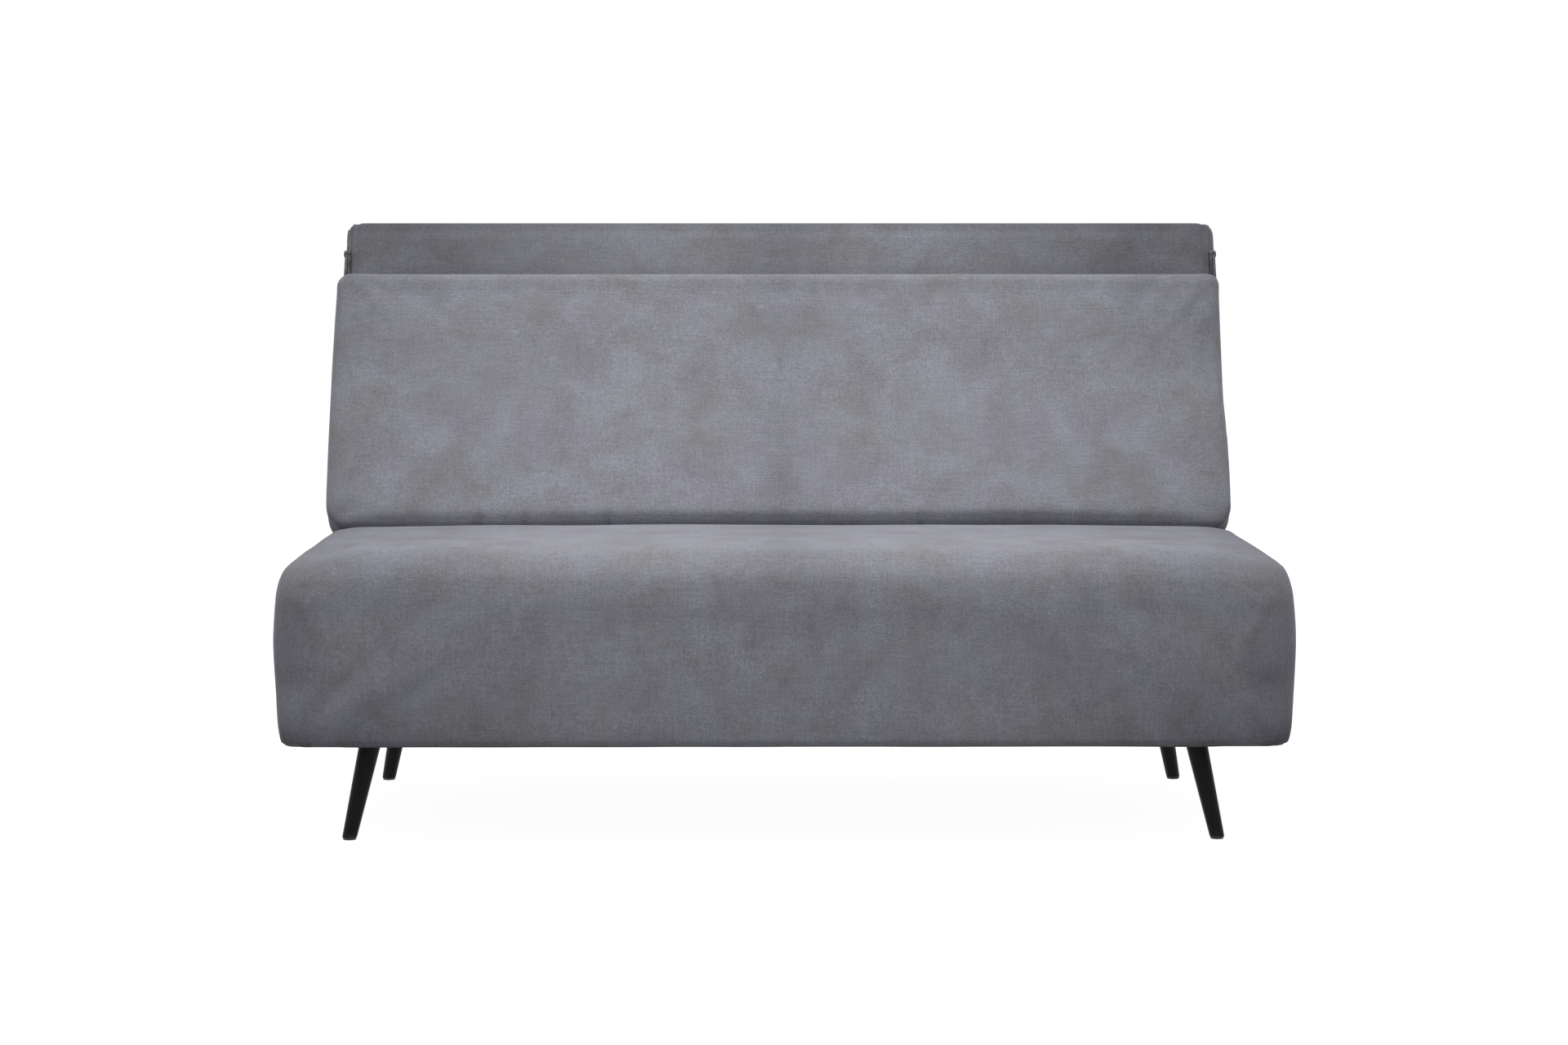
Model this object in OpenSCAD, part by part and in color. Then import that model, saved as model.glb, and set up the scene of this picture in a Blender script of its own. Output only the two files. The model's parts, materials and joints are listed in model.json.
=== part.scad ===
// Three-section fold-out sofa bed without arms. A seat section stands on four
// splayed legs, a front back section is hinged to its rear edge, and a rear
// back section is folded behind the front one. X runs along the width, the
// front faces -Y and Z is up. The origin lies on the floor under the middle.

/* [Seat section] */
// Width of the seat where its sides stand out furthest
seat_w = 1554; // [1400:2:1700]
// Depth of the seat, from its front face to the joint with the back
seat_d = 755; // [720:1:800]
// Height of the sleeping surface
seat_h = 430; // [410:1:450]
// Free height under the seat section
floor_gap = 156; // [145:1:164]
// How far the sides stand out past the top and bottom edges
side_bulge = 20; // [12:1:24]
// How far the front face stands out past its top and bottom edges
front_bulge = 9; // [5:1:12]
// Radius of the cover's upright corners
seat_corner_r = 38; // [32:1:42]
// Thickness of the padded cover over the foam
cover_t = 9; // [7:0.5:10]

/* [Back sections] */
// Lean of the back from upright, in degrees
lean = 20; // [16:1:24]
// Length of the front back section
front_back_l = 461; // [445:1:490]
// How far the rear back section stands above the front one
rear_rise = 124; // [116:1:132]
// Thickness of a back section
panel_t = 95; // [92:1:100]
// Gap between the folded back sections
fold_gap = 3; // [2:0.5:4]
// How much narrower than the seat the front back section is
front_back_trim = 14; // [6:1:18]
// How much narrower than the seat the rear back section is
rear_back_trim = 16; // [12:1:20]
// Radius of a back section's corners
panel_corner_r = 22; // [16:1:26]
// Rounding of a back section's front edges
panel_edge_r = 16; // [12:1:18]
// Height of the crown of a back section's soft face
panel_crown = 4; // [2:0.5:5]
// How far a back section's sides draw in between its corners
panel_pull = 3; // [1:0.5:4]

/* [Hinges] */
// Depth of the recline pin under the sleeping surface
hinge_drop = 74; // [72:0.5:76]
// Distance of the recline pin from the joint plane
hinge_inset = 54; // [50:0.5:56]
// Gap between the ends of two sections when they lie flat
end_gap = 2; // [1:0.5:3]
// Thickness of the hinge plates
plate_t = 4.5; // [4:0.25:4.5]
// Diameter of the recline pins
recline_pin_d = 10; // [8:0.5:12]
// Diameter of the fold pins
fold_pin_d = 6; // [5:0.5:7]
// Radial running clearance of every pin
pin_clear = 0.05; // [0.03:0.01:0.08]

/* [Wooden frames] */
// Thickness of the seat's boards
board_t = 18; // [16:1:20]
// Height of the seat's boards
board_h = 134; // [126:1:138]
// Width of a back section's rails
rail_w = 40; // [36:1:44]
// Thickness of a back section's rails
rail_t = 20; // [18:0.5:21]
// Width of a slat
slat_w = 53; // [44:1:58]
// Thickness of a slat
slat_t = 8; // [7:0.5:9]
// Rise of a slat's bend at its middle
slat_camber = 4; // [2:0.5:5]

/* [Legs] */
// Diameter of a leg at its top
leg_top_d = 34; // [30:1:38]
// Diameter of a leg at its foot
leg_foot_d = 22; // [20:1:24]
// Distance of the feet from the seat's sides
foot_side_x = 106; // [102:1:120]
// Distance of the front feet from the seat's front face
foot_front_y = 94; // [90:1:110]
// Distance of the rear feet from the joint plane
foot_rear_y = 103; // [98:1:120]
// How far a leg splays outwards and lengthwise over its height
leg_splay = 33; // [26:1:36]
// Height of a foot glide
glide_h = 4; // [3:0.5:5]
// Width of a support leg
support_w = 24; // [20:1:26]
// Thickness of a support leg
support_t = 6.5; // [5:0.5:6.5]

/* [Hidden] */

// General fits
fit = 0.3;
overrun = 1;
round_fn = 32;
// Half width of a bar's waist as a share of its eyes' radius
bar_waist_share = 0.88;
leg_fn = 48;

// Seat cover: heights as shares of the section's height, and insets of the
// sides as shares of the side bulge, from the underside to the top's middle
seat_profile_shares = [
  [0, 1.65], [0.008, 1.25], [0.03, 0.98], [0.075, 0.72], [0.18, 0.4],
  [0.36, 0.12], [0.575, 0], [0.75, 0.1], [0.86, 0.32], [0.92, 0.62],
  [0.965, 1.05], [0.99, 1.7], [0.997, 3.2], [1, 8]
];
// The part of an inset that the front and rear faces take where it rounds
// off the top and bottom edges, past one whole side bulge
edge_share = 1;
seat_half = seat_w / 2;
side_pad = 32;
rear_clear = 3;
lip_t = 4;
lip_w = 40;
sheet_t = 0.8;
section_h = seat_h - floor_gap;

// Hinge plates stand in layers along X, from the seat's side boards outwards
layer_gap = 0.5;
bolt_head_h = 2.6;
bracket_x = seat_half - side_pad;
arm_x = bracket_x + plate_t + layer_gap;
fold_leaf_x = arm_x + plate_t + bolt_head_h + layer_gap;
fold_arm_x = fold_leaf_x + plate_t + layer_gap;
support_x = arm_x + plate_t + layer_gap;

// Recline axis, in the seat's own Y and Z
pin_y = seat_d - hinge_inset;
pin_z = seat_h - hinge_drop;
recline = 90 - lean;
eye_r = 12;
bracket_eye_r = 14;
joint_clear = 3;
nose_r = hinge_inset - joint_clear;

// Fold axis, in the front back section's own length and depth
fold_reach = (rear_rise + end_gap) / 2;
fold_y = front_back_l + fold_reach;
fold_depth = panel_t + fold_gap / 2;
fold_eye_r = 6.5;
rear_back_l = front_back_l + rear_rise;
rear_fold_y = rear_rise - fold_reach;
front_half = (seat_w - front_back_trim) / 2;
rear_half = (seat_w - rear_back_trim) / 2;

// Seat frame
board_z = floor_gap + lip_t + sheet_t;
deck_z = board_z + board_h;
frame_inset = 20;
frame_y0 = frame_inset;
frame_y1 = seat_d - frame_inset;
beam_w = rail_w;
block_l = 136;
block_h = 45;
foam_back_inset = 8;
sheet_corner_gap = 4;

// Slats and their holders
slat_tab = 30;
slat_steps = 6;
holder_l = board_t;
holder_wall = 2;
holder_base = 1.5;
holder_play = 0.5;
deck_h = holder_base + fit + slat_t + slat_camber + fit;
seat_rows = 7;
front_back_rows = 4;
rear_back_rows = 5;

// Back sections, as depths under their soft face
panel_skin = 1.6;
rail_bottom = panel_t - panel_skin - sheet_t;
rail_top = rail_bottom - rail_t;
foam_bottom = rail_top - deck_h;
panel_wall = 8;
channel_clear = 1.6;
rail_inset = 3;
front_back_frame_half = arm_x;
rear_back_frame_half = bracket_x - fit;
strip_margin = 12;
strip_l = rear_rise + strip_margin;
underside_edge_r = 28;
underside_end_r = 8;
edge_steps = 3;
opening_margin = 45;
sheet_margin = 15;
foam_side_wall = 10;

// Fasteners
screw_head_r = 4.5;
screw_head_h = 2;
screw_r = 2.25;
screw_l = 25;
hanger_r = 4;
hanger_in_leg = 28;
hanger_in_block = 24;
bolt_r = 3;
bolt_head_r = 7;
bolt_grip = 24;
spacer_r = 6;
rivet_head_r = 8;
rivet_head_h = 3;
fold_head_r = 5.5;
fold_head_h = 1.8;

// Leg mounting
leg_plate_t = 3;
leg_plate_w = 96;
leg_plate_gap = 0.6;
leg_tilt = atan(leg_splay * sqrt(2) / floor_gap);
leg_rise = board_z - leg_plate_t - leg_plate_gap - sin(leg_tilt) * leg_top_d / 2;
leg_axis_l = leg_rise / cos(leg_tilt);
socket_wall = 3;
socket_r = leg_top_d / 2 + socket_wall;
plate_hole_offset = 38;
foot_x = seat_half - foot_side_x;

// Hinge bracket on the seat's side board
bracket_half_w = 29;
bracket_foot_gap = 42;
bracket_head_gap = 6;
bracket_low_z = board_z + bracket_foot_gap;
bracket_high_z = deck_z - bracket_head_gap;
bracket_hole_inset = 13;
notch_clear = 5;
notch_r = bracket_eye_r + notch_clear;

// Arms of the front back section, as points of length and height
arm_l = 140;
arm_drop = 2.5;
arm_pin = [-hinge_inset, -hinge_drop];
arm_end = [arm_l, -rail_top - rail_t / 2 - arm_drop];
function arm_point(y) =
  arm_pin + (arm_end - arm_pin) * (y + hinge_inset) / (arm_l + hinge_inset);
arm_root_y = 33;
arm_bolt_inset = 22;
arm_bolts = [arm_point(arm_root_y), arm_point(arm_l - arm_bolt_inset)];
fold_arm_drop = 0.5;
fold_arm_depth = rail_top + rail_t / 2 + fold_arm_drop;
fold_arm_l = 110;
fold_arm_bend_inset = 16;
fold_arm_bend = front_back_l - fold_arm_bend_inset;
fold_arm_start = fold_arm_bend - fold_arm_l;
fold_arm_bolt_inset = 14;
fold_arm_bolt_ys = [fold_arm_start, fold_arm_bend - fold_arm_bolt_inset];

// Support legs
support_end_gap = 29;
support_drop = 14;
support_pin_y = rear_back_l - support_end_gap;
support_pin_depth = fold_depth - support_drop;
support_l = seat_h - support_pin_depth;
support_foot_l = 26;
support_foot_wall = 1.5;
support_pin_r = 5;
support_spacer_r = 7;

// Fold leaves of the rear back section: level until they pass its strip,
// then up to the side rails
leaf_knee_gap = 5;
leaf_tip_gap = 10;
leaf_rise = 18;
leaf_knee = [strip_l + leaf_knee_gap, -fold_depth];
leaf_end = [support_pin_y - support_l - leaf_tip_gap - fold_eye_r, leaf_rise - fold_depth];
leaf_bolt_share = 0.42;
leaf_bolts = [leaf_knee + (leaf_end - leaf_knee) * leaf_bolt_share, leaf_end];

// Side channels of the back sections, which clear the arms and the legs
channel_depth = min(-arm_point(0)[1] - eye_r,
  support_pin_depth - support_w / 2 - support_foot_wall) - channel_clear;

// Middle of the whole object, from the seat's front face: halfway to the
// rounded upper edge of the rear back section
function edge_reach_share(a) =
  max([for (i = [0 : edge_steps]) cos(90 * i / edge_steps - a)]);
origin_y = (pin_y + cos(recline) * (hinge_inset + rear_back_l - panel_edge_r)
  + sin(recline) * (2 * panel_t + fold_gap - panel_crown - panel_edge_r - hinge_drop)
  + panel_edge_r * edge_reach_share(recline)) / 2;

// Places a piece of the seat section, whose Y starts at its front face
module placed() {
  translate([0, -origin_y, 0]) children();
}

// Places a piece of the front back section, drawn as it lies when flat:
// Y is its length from the joint and Z its height over the soft face
module in_front_back() {
  placed() translate([0, pin_y, pin_z]) rotate([recline, 0, 0])
    translate([0, hinge_inset, hinge_drop]) children();
}

// Places a piece of the rear back section, drawn as it lies when flat
module in_rear_back() {
  in_front_back() translate([0, fold_y, -fold_depth]) rotate([180, 0, 0])
    translate([0, -rear_fold_y, fold_depth]) children();
}

// Places a piece once on the right side and once mirrored on the left
module both_sides() {
  for (side = [0, 1]) mirror([side, 0, 0]) children();
}

// Corner points of a rounded rectangle whose sides are drawn in by pull
ring_corner_steps = 5;
ring_long_steps = 5;
ring_short_steps = 2;
function ring_corner(cx, cy, r, start) =
  [for (i = [0 : ring_corner_steps])
    let (a = start + 90 * i / ring_corner_steps)
    [cx + r * cos(a), cy + r * sin(a)]];
function between(a, b, steps) =
  [for (i = [1 : steps]) a + (b - a) * i / (steps + 1)];
function ring_outline(hx, hy, r) =
  let (x = hx - r, y = hy - r)
  concat(
    ring_corner(x, y, r, 0), between([x, hy], [-x, hy], ring_long_steps),
    ring_corner(-x, y, r, 90), between([-hx, y], [-hx, -y], ring_short_steps),
    ring_corner(-x, -y, r, 180), between([-x, -hy], [x, -hy], ring_long_steps),
    ring_corner(x, -y, r, 270), between([hx, -y], [hx, y], ring_short_steps));
function drawn_in(p, hx, hy, pull) =
  [p[0] * (1 - pull / hx * (1 - pow(p[1] / hy, 2))),
   p[1] * (1 - pull / hy * (1 - pow(p[0] / hx, 2)))];
function ring(hx, y0, y1, r, pull, z) =
  let (hy = (y1 - y0) / 2, mid = (y0 + y1) / 2)
  [for (p = ring_outline(hx, hy, r))
    let (q = drawn_in(p, hx, hy, pull)) [q[0], q[1] + mid, z]];

// Closed soft form through a stack of rings, lowest first
module ring_stack(rings) {
  n = len(rings[0]);
  last = len(rings) - 1;
  low = [for (k = [0 : 2]) (rings[0][0][k] + rings[0][n / 2][k]) / 2];
  high = [for (k = [0 : 2]) (rings[last][0][k] + rings[last][n / 2][k]) / 2];
  points = concat([for (r = rings) each r], [low, high]);
  low_i = len(points) - 2;
  high_i = len(points) - 1;
  faces = concat(
    [for (k = [0 : last - 1], i = [0 : n - 1])
      let (j = (i + 1) % n, a = k * n, b = a + n)
      each [[a + i, b + i, b + j], [a + i, b + j, a + j]]],
    [for (i = [0 : n - 1]) [low_i, i, (i + 1) % n]],
    [for (i = [0 : n - 1])
      [high_i, last * n + (i + 1) % n, last * n + i]]);
  polyhedron(points = points, faces = faces);
}

// A slat along X from x0 to x1, bent up between its flat ends
module slat(x0, x1) {
  span = x1 - x0 - 2 * slat_tab;
  bend = [for (i = [0 : slat_steps])
    [x0 + slat_tab + span * i / slat_steps, slat_camber * sin(180 * i / slat_steps)]];
  low = concat([[x0, 0]], bend, [[x1, 0]]);
  high = [for (i = [len(low) - 1 : -1 : 0]) low[i] + [0, slat_t]];
  rotate([90, 0, 0]) linear_extrude(slat_w, center = true)
    polygon(concat(low, high));
}

// Plastic pocket for a slat's end, open towards -X, from x = 0 to its length
module slat_holder() {
  pocket_w = slat_w + 2 * holder_play;
  outer_w = pocket_w + 2 * holder_wall;
  pocket_h = slat_t + 2 * fit;
  outer_h = holder_base + pocket_h + holder_wall / 2;
  difference() {
    translate([0, -outer_w / 2, 0]) cube([holder_l, outer_w, outer_h]);
    translate([-overrun, -pocket_w / 2, holder_base])
      cube([holder_l - holder_wall + overrun, pocket_w, pocket_h]);
  }
}

function row_y(y0, y1, rows, i) = y0 + (y1 - y0) * (i + 0.5) / rows;

// Both fields of slats over a frame whose side rails start at rail_x
module slat_fields(rail_x, y0, y1, rows) {
  both_sides() for (i = [0 : rows - 1])
    translate([0, row_y(y0, y1, rows, i), holder_base + fit])
      slat(holder_wall + 2 * holder_play, rail_x + holder_l - holder_wall - holder_play);
}

// The holders of both fields, on the side rails and on the centre rail
module holder_fields(rail_x, y0, y1, rows) {
  both_sides() for (i = [0 : rows - 1]) translate([0, row_y(y0, y1, rows, i), 0]) {
    translate([rail_x, 0, 0]) slat_holder();
    translate([holder_l + holder_play, 0, 0]) mirror([1, 0, 0]) slat_holder();
  }
}

// Straight plate between two points, with round ends, in its own plane
module bar_2d(a, b, r) {
  along = b - a;
  waist = r * bar_waist_share;
  translate(a) rotate(atan2(along[1], along[0])) {
    translate([0, -waist]) square([norm(along), 2 * waist]);
    circle(r, $fn = round_fn);
    translate([norm(along), 0]) circle(r, $fn = round_fn);
  }
}

// Stands a drawing of [Y, Z] up as a plate of thickness t from x outwards
module side_plate(x, t) {
  translate([x, 0, 0]) rotate([90, 0, 90]) linear_extrude(t) children();
}

// A round bar along X from x to x + l at [y, z]
module cross_bar(x, y, z, l, r, fn = round_fn) {
  translate([x, y, z]) rotate([0, 90, 0]) cylinder(h = l, r = r, $fn = fn);
}

// Seat frame

module board_along_x(y) {
  translate([board_t - bracket_x, y, board_z])
    cube([2 * (bracket_x - board_t), board_t, board_h]);
}

module front_board() {
  color("burlywood") placed() board_along_x(frame_y0);
}

module rear_board() {
  color("burlywood") placed() board_along_x(frame_y1 - board_t);
}

module side_board() {
  translate([bracket_x - board_t, frame_y0, board_z])
    cube([board_t, frame_y1 - frame_y0, board_h]);
}

module side_board_left() {
  color("burlywood") placed() mirror([1, 0, 0]) side_board();
}

module side_board_right() {
  color("burlywood") placed() side_board();
}

module centre_beam() {
  color("burlywood") placed()
    translate([-beam_w / 2, frame_y0 + board_t, board_z])
      cube([beam_w, frame_y1 - frame_y0 - 2 * board_t, board_h]);
}

// Timber block in a corner of the frame, with its inner corner cut off
module leg_block() {
  cut = block_l / 3;
  linear_extrude(block_h)
    polygon([[0, 0], [0, block_l], [cut - block_l, block_l],
             [-block_l, block_l - cut], [-block_l, 0]]);
}

module leg_blocks() {
  x = bracket_x - board_t;
  color("peru") placed() difference() {
    both_sides() {
      translate([x, frame_y0 + board_t, board_z]) leg_block();
      translate([x, frame_y1 - board_t, board_z]) mirror([0, 1, 0]) leg_block();
    }
    at_each_leg() translate([0, 0, leg_axis_l])
      cylinder(h = hanger_in_block + hanger_in_leg, r = hanger_r + pin_clear, $fn = round_fn);
  }
}

module seat_slats() {
  color("wheat") placed() translate([0, 0, deck_z])
    slat_fields(bracket_x - board_t, frame_y0 + board_t, frame_y1 - board_t, seat_rows);
}

module seat_slat_holders() {
  color("dimgray") placed() translate([0, 0, deck_z])
    holder_fields(bracket_x - board_t, frame_y0 + board_t, frame_y1 - board_t, seat_rows);
}

// What the back's end sweeps over the seat's rear edge, r from the pin: the
// slope under the end at rest, an arc about the pin and the joint plane
module rear_sweep(r) {
  reach = seat_d / 3;
  up = [cos(recline), sin(recline)];
  front = [-sin(recline), cos(recline)];
  arc_steps = 6;
  side_plate(-seat_half - overrun, seat_w + 2 * overrun)
    translate([pin_y, pin_z])
      polygon(concat(
        [up * r + front * reach],
        [for (i = [0 : arc_steps]) let (a = recline * (1 - i / arc_steps))
          [cos(a), sin(a)] * r],
        [[hinge_inset + reach, 0], [hinge_inset + reach, reach], [0, reach]]));
}

module seat_foam() {
  z = deck_z + deck_h;
  color("lightyellow") placed() difference() {
    translate([fit - bracket_x, frame_y0 + fit, z])
      cube([2 * (bracket_x - fit), frame_y1 - frame_y0 - 2 * fit, seat_h - cover_t - fit - z]);
    rear_sweep(nose_r - foam_back_inset - fit);
  }
}

function seat_inset_y(inset) =
  let (share = inset / side_bulge)
  front_bulge * min(share, 1) + side_bulge * edge_share * max(share - 1, 0);

// The cover's outer form, before the rear edge and hinge corners are cut
module seat_form() {
  ring_stack([for (p = seat_profile_shares)
    let (inset = p[1] * side_bulge, inset_y = seat_inset_y(inset))
    ring(seat_half - inset, inset_y, seat_d - rear_clear - inset_y,
         max(seat_corner_r - inset / 3, seat_corner_r / 3), 0,
         floor_gap + p[0] * section_h)]);
}

module hinge_notch() {
  translate([bracket_x, pin_y - notch_r, pin_z - notch_r])
    cube([seat_half, seat_d, seat_h]);
}

module seat_cover() {
  foam_top = seat_h - cover_t;
  color("slategray") placed() difference() {
    seat_form();
    rear_sweep(nose_r);
    difference() {
      translate([-bracket_x, frame_y0, floor_gap + lip_t])
        cube([2 * bracket_x, frame_y1 - frame_y0, foam_top - floor_gap - lip_t]);
      rear_sweep(nose_r - foam_back_inset);
    }
    translate([lip_w - bracket_x, lip_w, floor_gap - overrun])
      cube([2 * (bracket_x - lip_w), seat_d - 2 * lip_w, lip_t + 2 * overrun]);
    both_sides() {
      hinge_notch();
      translate([bracket_x - overrun, pin_y - bracket_half_w - fit, bracket_low_z - fit])
        cube([overrun + plate_t + bolt_head_h + fit, 2 * (bracket_half_w + fit),
              pin_z - bracket_low_z]);
    }
  }
}

module seat_dust_cover() {
  x = bracket_x - fit;
  y0 = frame_y0 + fit;
  y1 = frame_y1 - fit;
  reach = leg_plate_w / 2 + sheet_corner_gap;
  in_x = leg_at(1, 1, board_z)[0] - reach;
  front_y = leg_at(1, 1, board_z)[1] + reach;
  rear_y = leg_at(1, -1, board_z)[1] - reach;
  color("#222222") placed() translate([0, 0, floor_gap + lip_t])
    linear_extrude(sheet_t) polygon([
      [-in_x, y0], [in_x, y0], [in_x, front_y], [x, front_y],
      [x, rear_y], [in_x, rear_y], [in_x, y1], [-in_x, y1],
      [-in_x, rear_y], [-x, rear_y], [-x, front_y], [-in_x, front_y]]);
}

// Legs

// Puts Z along a leg's axis, with its zero at the foot: side is 1 on the
// right, end is 1 at the front
module leg_axis(side, end) {
  translate(concat(leg_at(side, end, 0), 0))
    rotate([0, leg_tilt, atan2(end, -side)]) children();
}

module at_each_leg() {
  for (side = [-1, 1], end = [-1, 1]) leg_axis(side, end) children();
}

module leg(side, end) {
  difference() {
    leg_axis(side, end) difference() {
      cylinder(h = leg_axis_l, r1 = leg_foot_d / 2, r2 = leg_top_d / 2, $fn = leg_fn);
      translate([0, 0, leg_axis_l - hanger_in_leg])
        cylinder(h = hanger_in_leg + overrun, r = hanger_r + pin_clear, $fn = round_fn);
    }
    translate([side * foot_x - leg_top_d, 0, -leg_top_d])
      cube([2 * leg_top_d, seat_d, leg_top_d + glide_h]);
  }
}

module leg_front_left() { color("#1c1c1e") placed() leg(-1, 1); }
module leg_front_right() { color("#1c1c1e") placed() leg(1, 1); }
module leg_rear_left() { color("#1c1c1e") placed() leg(-1, -1); }
module leg_rear_right() { color("#1c1c1e") placed() leg(1, -1); }

// Centre of the leg's section at height z
function leg_at(side, end, z) =
  let (foot_y = end > 0 ? foot_front_y : seat_d - foot_rear_y, lean_in = z * leg_splay / floor_gap)
  [side * (foot_x - lean_in), foot_y + end * lean_in];

module foot_glides() {
  color("#2a2a2a") placed() for (side = [-1, 1], end = [-1, 1])
    translate(leg_at(side, end, glide_h))
      cylinder(h = glide_h, r1 = leg_foot_d / 2 - glide_h / 4, r2 = leg_foot_d / 2, $fn = round_fn);
}

// Flat plate under a leg block with a slanted socket for the leg
module leg_plates() {
  plate_z = board_z - leg_plate_t;
  color("darkgray") placed() difference() {
    union() {
      for (side = [-1, 1], end = [-1, 1])
        translate(concat(leg_at(side, end, plate_z), plate_z))
          translate([-leg_plate_w / 2, -leg_plate_w / 2, 0])
            cube([leg_plate_w, leg_plate_w, leg_plate_t]);
      intersection() {
        at_each_leg() translate([0, 0, leg_axis_l])
          cylinder(h = board_z, r = socket_r, $fn = leg_fn);
        translate([-seat_half, 0, 0]) cube([seat_w, seat_d, plate_z + leg_plate_t / 2]);
      }
    }
    at_each_leg() translate([0, 0, leg_axis_l - overrun])
      cylinder(h = board_z, r = hanger_r + pin_clear, $fn = round_fn);
    at_plate_screws() translate([0, 0, -overrun])
      cylinder(h = leg_plate_t + 2 * overrun, r = screw_r + pin_clear, $fn = round_fn);
  }
}

module at_plate_screws() {
  plate_z = board_z - leg_plate_t;
  for (side = [-1, 1], end = [-1, 1], i = [-1, 1], j = [-1, 1])
    translate(concat(leg_at(side, end, plate_z), plate_z))
      translate([i * plate_hole_offset, j * plate_hole_offset, 0]) children();
}

module leg_bolts() {
  color("silver") placed() at_each_leg()
    translate([0, 0, leg_axis_l - hanger_in_leg + fit])
      cylinder(h = hanger_in_leg + hanger_in_block, r = hanger_r, $fn = round_fn);
}

module leg_plate_screws() {
  color("silver") placed() at_plate_screws() {
    translate([0, 0, -screw_head_h])
      cylinder(h = screw_head_h, r1 = screw_head_r / 2, r2 = screw_head_r, $fn = round_fn / 2);
    cylinder(h = screw_l, r = screw_r, $fn = round_fn / 2);
  }
}

// Recline hinge on the seat

function bracket_bolt_spots() =
  [for (y = [-1, 1], z = [bracket_low_z + bracket_hole_inset, bracket_high_z - bracket_hole_inset])
    [pin_y + y * (bracket_half_w - bracket_hole_inset), z]];

module hinge_bracket() {
  difference() {
    side_plate(bracket_x, plate_t) {
      translate([pin_y - bracket_half_w, bracket_low_z])
        square([2 * bracket_half_w, bracket_high_z - bracket_low_z]);
      bar_2d([pin_y, bracket_high_z - bracket_eye_r], [pin_y, pin_z], bracket_eye_r);
    }
    cross_bar(bracket_x - overrun, pin_y, pin_z, plate_t + 2 * overrun,
              recline_pin_d / 2 + pin_clear);
    for (p = bracket_bolt_spots())
      cross_bar(bracket_x - overrun, p[0], p[1], plate_t + 2 * overrun, bolt_r + pin_clear);
  }
}

module hinge_bracket_left() {
  color("#3a3a3c") placed() mirror([1, 0, 0]) hinge_bracket();
}

module hinge_bracket_right() {
  color("#3a3a3c") placed() hinge_bracket();
}

// A bolt whose head bears on the face at x and whose shank points to -X
module side_bolt(x, y, z, grip) {
  cross_bar(x, y, z, bolt_head_h, bolt_head_r, round_fn / 2);
  cross_bar(x - grip, y, z, grip + bolt_head_h / 2, bolt_r, round_fn / 2);
}

module hinge_bracket_bolts() {
  color("silver") placed() both_sides() for (p = bracket_bolt_spots())
    side_bolt(bracket_x + plate_t, p[0], p[1], plate_t + board_t / 2);
}

module recline_pins() {
  l = plate_t + layer_gap + plate_t + fit;
  color("silver") placed() both_sides() {
    cross_bar(bracket_x, pin_y, pin_z, l + rivet_head_h / 2, recline_pin_d / 2);
    cross_bar(bracket_x + l, pin_y, pin_z, rivet_head_h, rivet_head_r);
  }
}

// Back sections, drawn flat: Y is the length and Z is minus the depth

// Profile of a back section from its underside to its crown, as
// [inset of the sides, inset of the ends, depth]
underside_steps = 3;
side_swell = 1.5;
crown_ring_shares = [[0.06, 0.4], [0.16, 0.06]];
function panel_profile() = concat(
  [for (i = [0 : underside_steps]) let (a = 90 * i / underside_steps)
    [side_swell + underside_edge_r * (1 - sin(a)),
     underside_end_r * (1 - sin(a)),
     panel_t - underside_edge_r * (1 - cos(a))]],
  [[0, 0, (panel_t - underside_edge_r + panel_edge_r + panel_crown) / 2]],
  [for (i = [0 : edge_steps]) let (a = 90 * i / edge_steps)
    [side_swell + panel_edge_r * (1 - cos(a)), panel_edge_r * (1 - cos(a)),
     panel_crown + panel_edge_r * (1 - sin(a))]],
  [for (s = crown_ring_shares)
    [s[0] * rear_half, s[0] * front_back_l, s[1] * panel_crown]]);

module panel_form(half, l) {
  ring_stack([for (p = panel_profile())
    ring(half - p[0], p[1], l - p[1], max(panel_corner_r - p[1] / 2, panel_corner_r / 3),
         panel_pull, -p[2])]);
}

// A padded cover with its cavities and its side channels for the hinges,
// which start at channel_y; the underside is open from open_y on
module panel_cover(half, frame_half, l, channel_y, open_y) {
  difference() {
    panel_form(half, l);
    translate([foam_side_wall - half, panel_wall, -foam_bottom])
      cube([2 * (half - foam_side_wall), l - 2 * panel_wall, foam_bottom - panel_wall]);
    translate([rail_inset - frame_half, panel_wall, panel_skin - panel_t])
      cube([2 * (frame_half - rail_inset), l - 2 * panel_wall,
            panel_t - panel_skin - foam_bottom + fit]);
    translate([opening_margin - frame_half, open_y, -panel_t - overrun])
      cube([2 * (frame_half - opening_margin), l - opening_margin - open_y,
            panel_skin + 2 * overrun]);
    both_sides()
      translate([frame_half, channel_y, -panel_t - overrun])
        cube([half, l, panel_t - channel_depth + overrun]);
  }
}

module panel_foam(half, l) {
  wall = foam_side_wall + fit;
  translate([wall - half, panel_wall + fit, -foam_bottom])
    cube([2 * (half - wall), l - 2 * (panel_wall + fit), foam_bottom - panel_wall - fit]);
}

module panel_side_rails(frame_half, l) {
  both_sides()
    translate([frame_half - rail_inset - rail_w, panel_wall + fit, -rail_bottom])
      cube([rail_w, l - 2 * (panel_wall + fit), rail_t]);
}

module panel_cross_rails(frame_half, l) {
  x = frame_half - rail_inset - rail_w;
  for (y = [panel_wall + fit, l - panel_wall - fit - rail_w])
    translate([-x, y, -rail_bottom]) cube([2 * x, rail_w, rail_t]);
}

module panel_centre_rail(l) {
  y = panel_wall + fit + rail_w;
  translate([-rail_w / 2, y, -rail_bottom]) cube([rail_w, l - 2 * y, rail_t]);
}

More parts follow.
